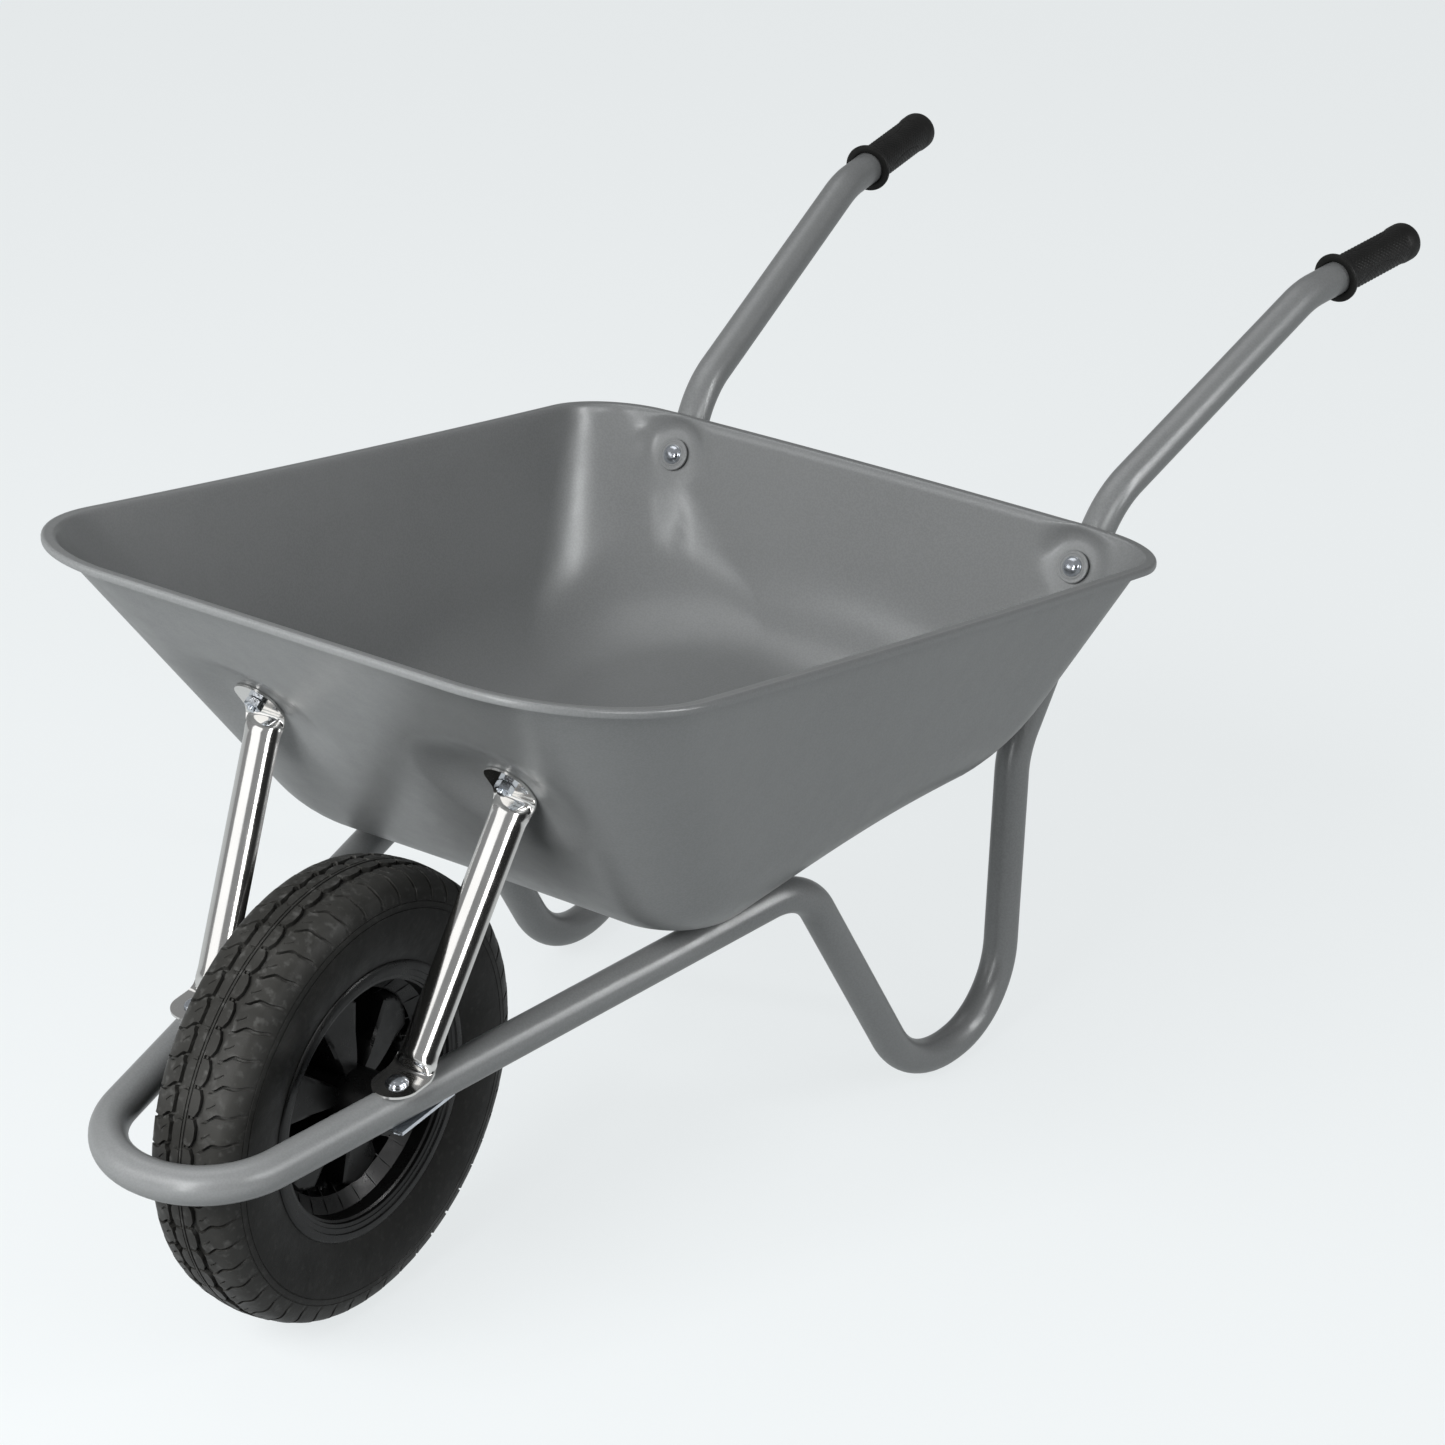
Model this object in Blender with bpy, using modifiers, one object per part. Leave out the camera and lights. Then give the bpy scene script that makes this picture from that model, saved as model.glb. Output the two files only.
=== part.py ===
"""A steel builder's wheelbarrow, resting on its wheel and its two feet.

Metres. +Z is up, the wheel is at the -Y end and the grips are at the +Y end. +X is the left
side. The origin is on the ground, under the middle of the whole barrow. Every length along Y
below is measured from the wheel's axle, and AXLE_Y moves it into place.
"""

import math

import bmesh
import bpy
from mathutils import Matrix, Vector

# ---- driving dimensions ------------------------------------------------------------------

AXLE_Y = -0.505
AXLE_HEIGHT = 0.1855
GAP = 0.0003
SEAT_GAP = 0.0021

# Frame: one tube, given as the corners of its left half with the bend radius at each.
TUBE_RADIUS = 0.015
TUBE_WALL = 0.0015
FRAME_CORNERS = [
    ((0.0635, -0.2222, 0.2154), 0.075),  # front loop
    ((0.1823, 0.3760, 0.2649), 0.066),  # rail turns down to the foot
    ((0.1913, 0.5464, 0.0087), 0.107),  # foot, front bend
    ((0.1991, 0.6778, 0.0226), 0.074),  # foot, rear bend
    ((0.1957, 0.6863, 0.2690), 0.087),  # top of the leg
    ((0.2127, 0.7969, 0.4682), 0.088),  # behind the pan's rear lip
    ((0.2439, 1.0805, 0.5817), 0.100),  # grip bend
]
HANDLE_END = (0.2619, 1.2411, 0.5919)
FRAME_BEND_STEPS = 3

# Pan: a rounded trapezium at the lip and another at the floor, joined by flat walls.
SHEET = 0.0012
LIP_WIDTH = 0.0115
LIP_FRONT = (0.2929, -0.0666, 0.6000)
LIP_REAR = (0.3051, 0.7723, 0.4497)
LIP_CORNERS = (0.1339, 0.0748)
LIP_SAG = 0.0036
# The middle of the lip's front and rear edges stands this far out (+Y) and up from its corners.
LIP_FRONT_BOW = (-0.003, 0.002)
LIP_REAR_BOW = (-0.010, 0.008)
FLOOR_FRONT = (0.2016, 0.1960, 0.2712)
FLOOR_REAR = (0.2400, 0.7180, 0.2905)
FLOOR_CORNERS = (0.0650, 0.1600)
BEND_UP_WALL = 0.080
GROOVE_CLEARANCE = 0.0015
GROOVE_FLAT = 0.016
GROOVE_BLEND = 0.060
LIP_GROOVE_TOP = 0.440
BEND_ON_FLOOR = 0.075

# Wheel.
WHEEL_RADIUS = AXLE_HEIGHT
RIM_HALF_WIDTH = 0.0368
FLANGE_RADIUS = 0.1143
BEAD_RADIUS = 0.1016
HUB_RADIUS = 0.024
HUB_HALF_LENGTH = 0.056
BEARING_RADIUS = 0.0160
BEARING_LENGTH = 0.014
PETALS = 6
PETAL_DEPTH = 0.017
PETAL_TURN = math.radians(-9)
AXLE_RADIUS = 0.006
AXLE_SHOULDER = 0.0580
AXLE_END_RADIUS = 0.0040
AXLE_HALF_LENGTH = 0.0705
RUNNING_GAP = 0.0001

# Struts, brackets and fastenings.
STRIP = 0.002
TAB_RADIUS = 0.0195
CHANNEL_DEPTH = 0.011
BOLT_RADIUS = 0.004
NUT_FLATS = 0.013
NUT_HEIGHT = 0.0065
BOLT_HEAD_RADIUS = 0.0088
WASHER_RADIUS = 0.0145
WASHER_THICKNESS = 0.002
SPACER_LENGTH = 0.0015
BRACKET_PLATE = 0.003
BRACKET_X = 0.0600
RAIL_BOLT_Y = -0.0474
WALL_BOLT = (0.1201, 0.0595, 0.4628)
REAR_BOLT_HEIGHT = 0.4125

# Grips.
GRIP_LENGTH = 0.1205
GRIP_RADIUS = 0.0172
GRIP_COLLAR = 0.0225

STEPS = 32
TYRE_STEPS = 32
HUB_STEPS = 24
SMALL_STEPS = 16


# ---- scene, materials and small helpers --------------------------------------------------


def clear_scene():
    for obj in list(bpy.data.objects):
        bpy.data.objects.remove(obj, do_unlink=True)


def collection(name):
    made = bpy.data.collections.new(name)
    bpy.context.scene.collection.children.link(made)
    return made


def material(name, colour, roughness, metallic=0.0):
    made = bpy.data.materials.new(name)
    made.use_nodes = True
    shader = made.node_tree.nodes["Principled BSDF"]
    shader.inputs["Base Color"].default_value = (*colour, 1.0)
    shader.inputs["Roughness"].default_value = roughness
    shader.inputs["Metallic"].default_value = metallic
    made.diffuse_color = (*colour, 1.0)
    return made


clear_scene()
BARROW = collection("wheelbarrow")
CUTTERS = collection("cutters")

PAINT = material("grey_paint", (0.20, 0.21, 0.21), 0.42, 0.3)
ZINC = material("bright_zinc", (0.80, 0.80, 0.79), 0.16, 1.0)
STEEL = material("plain_steel", (0.45, 0.45, 0.45), 0.35, 1.0)
RUBBER = material("tyre_rubber", (0.018, 0.018, 0.017), 0.75)
BUTYL = material("butyl_rubber", (0.03, 0.03, 0.03), 0.6)
RIM_PLASTIC = material("rim_plastic", (0.012, 0.012, 0.013), 0.38)
GRIP_PLASTIC = material("grip_plastic", (0.015, 0.015, 0.015), 0.5)


def from_axle(point):
    """A point measured from the axle's place along Y, moved into the barrow's own frame."""
    return Vector((point[0], point[1] + AXLE_Y, point[2]))


def mesh_object(name, bm, look, group=BARROW):
    mesh = bpy.data.meshes.new(name)
    bm.to_mesh(mesh)
    bm.free()
    mesh.materials.append(look)
    obj = bpy.data.objects.new(name, mesh)
    group.objects.link(obj)
    return obj


def as_cutter(obj):
    for group in list(obj.users_collection):
        group.objects.unlink(obj)
    CUTTERS.objects.link(obj)
    obj.hide_render = True
    obj.display_type = "WIRE"
    return obj


def boolean(obj, other, operation="DIFFERENCE"):
    as_cutter(other)
    modifier = obj.modifiers.new(other.name, "BOOLEAN")
    modifier.operation = operation
    modifier.solver = "EXACT"
    modifier.object = other


def point_along(obj, origin, axis):
    """Puts the object's own origin at a point, and its own +Z along an axis."""
    obj.location = origin
    obj.rotation_mode = "QUATERNION"
    obj.rotation_quaternion = Vector((0, 0, 1)).rotation_difference(Vector(axis))
    return obj


def turned(name, profile, look, steps=STEPS, closed=False):
    """A turned shape about its own Z. The profile is (radius, height), down its outer side."""
    bm = bmesh.new()
    points = [bm.verts.new((radius, 0, height)) for radius, height in profile]
    for first, second in zip(points, points[1:]):
        bm.edges.new((first, second))
    if closed:
        bm.edges.new((points[-1], points[0]))
    obj = mesh_object(name, bm, look)
    modifier = obj.modifiers.new("turn", "SCREW")
    modifier.axis = "Z"
    modifier.steps = steps
    modifier.render_steps = steps
    modifier.use_merge_vertices = True
    modifier.merge_threshold = 0.00001
    modifier.use_smooth_shade = False
    return obj


def drill(obj, name, origin, axis, radius, length, steps=SMALL_STEPS):
    """Cuts a round hole centred on a point."""
    bm = bmesh.new()
    bmesh.ops.create_cone(
        bm, cap_ends=True, segments=steps, radius1=radius, radius2=radius, depth=length
    )
    boolean(obj, point_along(mesh_object(name, bm, STEEL), origin, axis))


def hex_nut(name, origin, axis, across_flats, height, bore, look=ZINC):
    """A nut that sits on the origin and rises along the axis."""
    bm = bmesh.new()
    corner = across_flats / 2 / math.cos(math.pi / 6)
    bmesh.ops.create_cone(
        bm, cap_ends=True, segments=6, radius1=corner, radius2=corner, depth=height
    )
    bmesh.ops.translate(bm, verts=bm.verts, vec=(0, 0, height / 2))
    nut = point_along(mesh_object(name, bm, look), origin, axis)
    middle = Vector(origin) + Vector(axis) * height / 2
    drill(nut, name + "_bore", middle, axis, bore, height * 2)
    return nut


def domed_bolt(name, origin, axis, length, head_radius, head_height, look=ZINC):
    """A bolt whose head rises from the origin along the axis, with its shank behind."""
    profile = [
        (0.0, head_height),
        (head_radius * 0.45, head_height * 0.90),
        (head_radius * 0.80, head_height * 0.58),
        (head_radius, head_height * 0.12),
        (head_radius, 0.0),
        (BOLT_RADIUS, 0.0),
        (BOLT_RADIUS, -length),
        (0.0, -length),
    ]
    return point_along(turned(name, profile, look, SMALL_STEPS), origin, axis)


def washer(name, origin, axis, radius, bore, thickness, look):
    """A flat ring that sits on the origin and rises along the axis."""
    profile = [(radius, thickness), (radius, 0.0), (bore, 0.0), (bore, thickness)]
    return point_along(turned(name, profile, look, 24, closed=True), origin, axis)


def rounded_path(corners, radii, bend_steps, run_shares):
    """Points along straight runs joined by arcs, with one radius for each inner corner.

    run_shares says, for each straight run, at which shares of its length it has a point.
    """
    corners = [Vector(corner) for corner in corners]
    points = [corners[0].copy()]
    for index, radius in enumerate(radii, start=1):
        corner = corners[index]
        back = (corners[index - 1] - corner).normalized()
        ahead = (corners[index + 1] - corner).normalized()
        half_angle = back.angle(ahead) / 2
        centre = corner + (back + ahead).normalized() * radius / math.sin(half_angle)
        start = corner + back * radius / math.tan(half_angle)
        points += straight_run(points[-1], start, run_shares[index - 1])
        from_centre = (start - centre).normalized()
        sideways = -back
        sweep = math.pi - 2 * half_angle
        for step in range(1, bend_steps + 1):
            angle = sweep * step / bend_steps
            arm = from_centre * math.cos(angle) + sideways * math.sin(angle)
            points.append(centre + arm * radius)
    return points + straight_run(points[-1], corners[-1], run_shares[-1])


def straight_run(start, end, shares):
    return [start.lerp(end, share) for share in shares]


def mirrored(side, point):
    return Vector((side * point[0], point[1], point[2]))


SIDES = (("left", 1), ("right", -1))

# The rail is straight between the front loop and the bend under the pan.
RAIL_START = Vector(FRAME_CORNERS[0][0])
RAIL_END = Vector(FRAME_CORNERS[1][0])
LEG_TOP = Vector(FRAME_CORNERS[4][0])
LIP_BEND = Vector(FRAME_CORNERS[5][0])


def on_line(start, end, coordinate, value):
    """The point of the line through start and end where one coordinate has this value."""
    part = (value - start[coordinate]) / (end[coordinate] - start[coordinate])
    return start.lerp(end, part)


RAIL_BOLT = on_line(RAIL_START, RAIL_END, 1, RAIL_BOLT_Y)
RAIL_PITCH = math.atan2(RAIL_END.z - RAIL_START.z, RAIL_END.y - RAIL_START.y)
RAIL_UP = Vector((0, -math.sin(RAIL_PITCH), math.cos(RAIL_PITCH)))
RAIL_ALONG = Vector((0, math.cos(RAIL_PITCH), math.sin(RAIL_PITCH)))

HANDLE_BOLT = on_line(LEG_TOP, LIP_BEND, 2, REAR_BOLT_HEIGHT)
HANDLE_RISE = LIP_BEND - LEG_TOP
# The rear bolts are square to the handle tubes, and point out of the pan.
REAR_AXIS = Vector((0, HANDLE_RISE.z, -HANDLE_RISE.y)).normalized()

WALL_TOP_FRONT = Vector((0, LIP_FRONT[1] + LIP_WIDTH, LIP_FRONT[2]))
WALL_FOOT_FRONT = Vector((0, FLOOR_FRONT[1], FLOOR_FRONT[2]))
WALL_UP = (WALL_TOP_FRONT - WALL_FOOT_FRONT).normalized()
WALL_OUT = Vector((0, -WALL_UP.z, WALL_UP.y))


# ---- frame -------------------------------------------------------------------------------


def frame_path():
    corners = [(0, FRAME_CORNERS[0][0][1], FRAME_CORNERS[0][0][2])]
    corners += [corner for corner, _ in FRAME_CORNERS] + [HANDLE_END]
    radii = [radius for _, radius in FRAME_CORNERS]
    half = rounded_path(corners, radii, FRAME_BEND_STEPS, [(1.0,)] * (len(radii) + 1))
    return [mirrored(-1, point) for point in reversed(half[1:])] + half


def frame_tube():
    """One hollow tube from grip to grip, drilled for the bolts."""
    curve = bpy.data.curves.new("frame_curve", "CURVE")
    curve.dimensions = "3D"
    curve.bevel_depth = TUBE_RADIUS
    curve.bevel_resolution = 3
    path = [from_axle(point) for point in frame_path()]
    spline = curve.splines.new("POLY")
    spline.points.add(len(path) - 1)
    for place, point in zip(spline.points, path):
        place.co = (*point, 1.0)
    guide = bpy.data.objects.new("frame_guide", curve)
    BARROW.objects.link(guide)
    bpy.context.view_layer.update()
    graph = bpy.context.evaluated_depsgraph_get()
    mesh = bpy.data.meshes.new_from_object(guide.evaluated_get(graph))
    bpy.data.objects.remove(guide, do_unlink=True)
    mesh.materials.clear()
    mesh.materials.append(PAINT)
    tube = bpy.data.objects.new("frame_tube", mesh)
    BARROW.objects.link(tube)
    wall = tube.modifiers.new("wall", "SOLIDIFY")
    wall.thickness = TUBE_WALL
    wall.offset = -1
    for side_name, side in SIDES:
        rail_bolt = from_axle(mirrored(side, RAIL_BOLT))
        drill(tube, f"rail_hole_{side_name}", rail_bolt, RAIL_UP, BOLT_RADIUS + GAP, 0.05)
        handle_bolt = from_axle(mirrored(side, HANDLE_BOLT))
        drill(tube, f"handle_hole_{side_name}", handle_bolt, REAR_AXIS, BOLT_RADIUS + GAP, 0.05)


# ---- pan ---------------------------------------------------------------------------------

CORNER_STEPS = 7
# Where the straight stretches of a ring have points: closer together by a bolt.
FRONT_COLUMNS = (0.30, 0.55, 0.65, 0.71, 0.775, 0.84, 0.90, 1.0)
SIDE_COLUMNS = (0.25, 0.50, 0.75, 1.0)
REAR_COLUMNS = (0.08, 0.25, 0.60, 1.0)
# Where the bend from floor to wall has rings, and where the wall above it has.
BEND_ROWS = (0.0, 0.3, 0.55, 0.8, 1.0)
WALL_ROWS = (0.22, 0.38, 0.43, 0.49, 0.55, 0.66, 0.76, 0.86, 1.0)


def half_outline(front, rear, radii):
    """The left half of a rounded trapezium, from the middle of its front to that of its rear."""
    corners = [(0, front[1], 0), (front[0], front[1], 0), (rear[0], rear[1], 0), (0, rear[1], 0)]
    columns = [FRONT_COLUMNS, SIDE_COLUMNS, REAR_COLUMNS]
    return rounded_path(corners, radii, CORNER_STEPS, columns)


def inset(front, rear, radii, distance):
    """The same trapezium drawn smaller all round."""
    return (
        (front[0] - distance, front[1] + distance, front[2]),
        (rear[0] - distance, rear[1] - distance, rear[2]),
        tuple(radius - distance for radius in radii),
    )


def on_lip(x, y, drop):
    """A point of the lip's outline, lifted to the lip's height and bowed at front and rear."""
    part = min(1.0, max(0.0, (y - LIP_FRONT[1]) / (LIP_REAR[1] - LIP_FRONT[1])))
    straight = LIP_FRONT[2] + (LIP_REAR[2] - LIP_FRONT[2]) * part
    half_width = LIP_FRONT[0] + (LIP_REAR[0] - LIP_FRONT[0]) * part
    middle = 1 - min(1.0, abs(x) / half_width) ** 2
    front = middle * (1 - part) ** 2
    rear = middle * part**2
    out = LIP_FRONT_BOW[0] * front + LIP_REAR_BOW[0] * rear
    up = LIP_FRONT_BOW[1] * front + LIP_REAR_BOW[1] * rear
    return Vector((x, y + out, straight + up - 4 * LIP_SAG * part * (1 - part) - drop))


def floor_height(y):
    part = (y - FLOOR_FRONT[1]) / (FLOOR_REAR[1] - FLOOR_FRONT[1])
    return FLOOR_FRONT[2] + (FLOOR_REAR[2] - FLOOR_FRONT[2]) * part


def lip_ring(distance, drop):
    """A ring of the lip: this far inside its outer edge, and this far below its underside."""
    outline = half_outline(*inset(LIP_FRONT, LIP_REAR, LIP_CORNERS, distance))
    return [on_lip(p.x, p.y, drop) for p in outline]


def pan_rings():
    """Half rings of the pan's outer surface, from the floor's middle to the edge of the lip."""
    floor = [
        Vector((p.x, p.y, floor_height(p.y)))
        for p in half_outline(FLOOR_FRONT, FLOOR_REAR, FLOOR_CORNERS)
    ]
    wall_top = lip_ring(LIP_WIDTH, 0.006)
    middle_y = (FLOOR_FRONT[1] + FLOOR_REAR[1]) / 2
    centre = Vector((0, middle_y, floor_height(middle_y)))
    rings = [[] for _ in BEND_ROWS + WALL_ROWS]
    for foot, top in zip(floor, wall_top):
        inner = foot + (centre - foot).normalized() * BEND_ON_FLOOR
        upper = foot + (top - foot).normalized() * BEND_UP_WALL
        column = [inner * (1 - t) ** 2 + foot * 2 * t * (1 - t) + upper * t**2 for t in BEND_ROWS]
        column += [upper.lerp(top, share) for share in WALL_ROWS]
        for ring, point in zip(rings, column):
            ring.append(point)
    rings.append(lip_ring(LIP_WIDTH - 0.0045, 0.0))
    rings.append(lip_ring(0.0015, 0.0))
    rings.append(lip_ring(0.0, 0.0012))
    rings.append(lip_ring(0.0, 0.0045))
    return rings


def press_flat(point, pad, outward, push, flat_radius, blend_radius):
    """Pushes a point of the wall onto a bolt's flat pad, fading out round the pad."""
    offset = point - pad
    height = offset.dot(outward)
    reach = (offset - outward * height).length
    if reach >= blend_radius or abs(height) > 0.05:
        return point
    fade = min(1.0, max(0.0, (blend_radius - reach) / (blend_radius - flat_radius)))
    weight = fade * fade * (3 - 2 * fade)
    return point - push * (weight * height / push.dot(outward))


REAR_PAD = HANDLE_BOLT - REAR_AXIS * (TUBE_RADIUS + GAP)
FRONT_PAD = Vector(WALL_BOLT)
BACK = Vector((0, 1, 0))
# Each pad's flat radius, and the radius where the wall is its own shape again.
REAR_PAD_RADII = (0.017, 0.041)
FRONT_PAD_RADII = (0.028, 0.060)


def clear_handle(point):
    """Presses a shallow groove where the wall would otherwise reach into the handle tube."""
    depth = (point - REAR_PAD).dot(REAR_AXIS) + GROOVE_CLEARANCE
    beside = abs(point.x - on_line(LEG_TOP, LIP_BEND, 2, point.z).x)
    if depth <= 0 or beside >= GROOVE_BLEND or point.y < LEG_TOP.y - 0.02:
        return point
    fade = min(1.0, (GROOVE_BLEND - beside) / (GROOVE_BLEND - GROOVE_FLAT))
    weight = fade * fade * (3 - 2 * fade)
    return point - BACK * (weight * depth / BACK.dot(REAR_AXIS))


def shaped(point):
    """The wall is pressed to fit against each handle tube and each strut."""
    if point.z < LIP_GROOVE_TOP:
        point = clear_handle(point)
    point = press_flat(point, REAR_PAD, REAR_AXIS, BACK, *REAR_PAD_RADII)
    return press_flat(point, FRONT_PAD, WALL_OUT, WALL_OUT, *FRONT_PAD_RADII)


def pan():
    """One pressed sheet: the outer surface is lofted, then thickened inwards."""
    bm = bmesh.new()
    loops = []
    for half in pan_rings():
        half = [shaped(point) for point in half]
        ring = half + [mirrored(-1, point) for point in reversed(half[1:-1])]
        loops.append([bm.verts.new(from_axle(point)) for point in ring])
    count = len(loops[0])
    bm.faces.new(loops[0][::-1])
    for inner, outer in zip(loops, loops[1:]):
        for i in range(count):
            j = (i + 1) % count
            bm.faces.new((inner[i], inner[j], outer[j], outer[i]))
    obj = mesh_object("pan", bm, PAINT)
    sheet = obj.modifiers.new("sheet", "SOLIDIFY")
    sheet.thickness = SHEET
    sheet.offset = -1
    for side_name, side in SIDES:
        rear = from_axle(mirrored(side, REAR_PAD))
        drill(obj, f"pan_rear_hole_{side_name}", rear, REAR_AXIS, BOLT_RADIUS + GAP, 0.02)
        front = from_axle(mirrored(side, FRONT_PAD))
        drill(obj, f"pan_front_hole_{side_name}", front, WALL_OUT, BOLT_RADIUS + GAP, 0.02)


def pan_bolts(side_name, side):
    """Domed bolt, penny washer and nut that hold the pan to the handle tube."""
    axis = REAR_AXIS
    inside = mirrored(side, REAR_PAD) - axis * (SHEET + SEAT_GAP)
    washer(
        f"rear_washer_{side_name}", from_axle(inside), -axis, WASHER_RADIUS,
        BOLT_RADIUS + GAP, WASHER_THICKNESS, PAINT,
    )
    head = inside - axis * (WASHER_THICKNESS + GAP)
    domed_bolt(f"rear_bolt_{side_name}", from_axle(head), -axis, 0.047, BOLT_HEAD_RADIUS, 0.005)
    behind = mirrored(side, HANDLE_BOLT) + axis * (TUBE_RADIUS + GAP)
    hex_nut(f"rear_nut_{side_name}", from_axle(behind), axis, NUT_FLATS, NUT_HEIGHT, BOLT_RADIUS + GAP)


# ---- struts ------------------------------------------------------------------------------

STRUT_COLUMNS = 8
TAB_FOLD = 0.0190
# Where a strut's channel starts: distance from the fold, half width, depth.
CHANNEL_ROWS = (
    (0.006, 0.0185, 0.002),
    (0.018, 0.0172, 0.008),
    (0.034, 0.0165, CHANNEL_DEPTH),
)


def strut_axis():
    """Corners of a left strut's middle line: tab end, fold, fold, tab end."""
    lift = TUBE_RADIUS + GAP + STRIP / 2
    rail_hole = RAIL_BOLT + RAIL_UP * lift
    wall_hole = FRONT_PAD + WALL_OUT * (2 * GAP + STRIP / 2)
    return [
        rail_hole - RAIL_ALONG * TAB_RADIUS,
        rail_hole + RAIL_ALONG * TAB_FOLD,
        wall_hole - WALL_UP * TAB_FOLD,
        wall_hole + WALL_UP * TAB_RADIUS,
    ]


def strut_rows():
    """(centre, direction, half width, channel depth) of each row of a left strut."""
    low_end, low_fold, high_fold, high_end = strut_axis()
    rows = []
    for end, fold in ((low_end, low_fold), (high_end, high_fold)):
        direction = (fold - end).normalized()
        rows_here = []
        for turn in (8, 25, 45, 67, 90):
            reach = TAB_RADIUS * (1 - math.cos(math.radians(turn)))
            half_width = TAB_RADIUS * math.sin(math.radians(turn))
            rows_here.append((end + direction * reach, direction, half_width, 0.0))
        rows_here.append((fold - direction * 0.006, direction, TAB_RADIUS * 0.98, 0.0))
        rows.append(rows_here)
    body = (high_fold - low_fold).normalized()
    length = (high_fold - low_fold).length
    lower = [(low_fold + body * d, body, w, h) for d, w, h in CHANNEL_ROWS]
    upper = [(low_fold + body * (length - d), body, w, h) for d, w, h in reversed(CHANNEL_ROWS)]
    top = [(c, -direction, w, h) for c, direction, w, h in reversed(rows[1])]
    return rows[0] + lower + upper + top


def strut(side_name, side):
    """A strip pressed into a channel, with a flat round-ended tab at each end."""
    bm = bmesh.new()
    across = Vector((1, 0, 0))
    loops = []
    for centre, direction, half_width, depth in strut_rows():
        width_way = (across - direction * across.dot(direction)).normalized()
        outward = width_way.cross(direction)
        loop = []
        for column in range(STRUT_COLUMNS + 1):
            share = 2 * column / STRUT_COLUMNS - 1
            bulge = depth * (math.sqrt(max(0.0, 1 - (0.94 * share) ** 2)) - 0.34)
            point = centre + width_way * half_width * share + outward * bulge
            loop.append(bm.verts.new(from_axle(mirrored(side, point))))
        loops.append(loop)
    for first, second in zip(loops, loops[1:]):
        for a in range(STRUT_COLUMNS):
            corners = (first[a], first[a + 1], second[a + 1], second[a])
            bm.faces.new(corners if side > 0 else corners[::-1])
    obj = mesh_object(f"strut_{side_name}", bm, ZINC)
    strip = obj.modifiers.new("strip", "SOLIDIFY")
    strip.thickness = STRIP
    strip.offset = 0
    rail_hole = from_axle(mirrored(side, RAIL_BOLT + RAIL_UP * TUBE_RADIUS))
    drill(obj, f"strut_low_hole_{side_name}", rail_hole, RAIL_UP, BOLT_RADIUS + GAP, 0.012)
    wall_hole = from_axle(mirrored(side, FRONT_PAD))
    drill(obj, f"strut_high_hole_{side_name}", wall_hole, WALL_OUT, BOLT_RADIUS + GAP, 0.012)


def strut_bolts(side_name, side):
    """The strut's upper bolt goes out through the pan's wall, its lower one down the rail."""
    inside = mirrored(side, FRONT_PAD) - WALL_OUT * (SHEET + GAP)
    domed_bolt(
        f"strut_top_bolt_{side_name}", from_axle(inside), -WALL_OUT, 0.0135,
        BOLT_HEAD_RADIUS, 0.0045,
    )
    outside = mirrored(side, FRONT_PAD) + WALL_OUT * (3 * GAP + STRIP)
    hex_nut(
        f"strut_top_nut_{side_name}", from_axle(outside), WALL_OUT, NUT_FLATS, NUT_HEIGHT,
        BOLT_RADIUS + GAP,
    )
    above = mirrored(side, RAIL_BOLT) + RAIL_UP * (TUBE_RADIUS + 2 * GAP + STRIP)
    domed_bolt(
        f"strut_bottom_bolt_{side_name}", from_axle(above), RAIL_UP, 0.0455, 0.0090, 0.0048
    )
    below = mirrored(side, RAIL_BOLT) - RAIL_UP * (TUBE_RADIUS + 2 * GAP + BRACKET_PLATE)
    hex_nut(
        f"strut_bottom_nut_{side_name}", from_axle(below), -RAIL_UP, NUT_FLATS, NUT_HEIGHT,
        BOLT_RADIUS + GAP,
    )


# ---- axle and its brackets ---------------------------------------------------------------

BRACKET_END_RADIUS = 0.0080
BRACKET_REACH = 0.0130


def in_rail_frame(point):
    """A point's distances along the rail and up from it, measured from the rail bolt."""
    offset = Vector(point) - RAIL_BOLT
    return offset.dot(RAIL_ALONG), offset.dot(RAIL_UP)


def plate(name, outline, low_x, high_x, side, look):
    """A flat plate cut to an outline in the rail's own directions, between two X positions."""
    bm = bmesh.new()
    rings = []
    for x in (low_x, high_x):
        ring = []
        for along, up in outline:
            point = RAIL_ALONG * along + RAIL_UP * up + RAIL_BOLT
            ring.append(bm.verts.new(from_axle((side * x, point.y, point.z))))
        rings.append(ring)
    bm.faces.new(rings[0][::-1])
    bm.faces.new(rings[1])
    for i in range(len(outline)):
        j = (i + 1) % len(outline)
        bm.faces.new((rings[0][i], rings[0][j], rings[1][j], rings[1][i]))
    bmesh.ops.recalc_face_normals(bm, faces=bm.faces)
    return mesh_object(name, bm, look)


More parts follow.
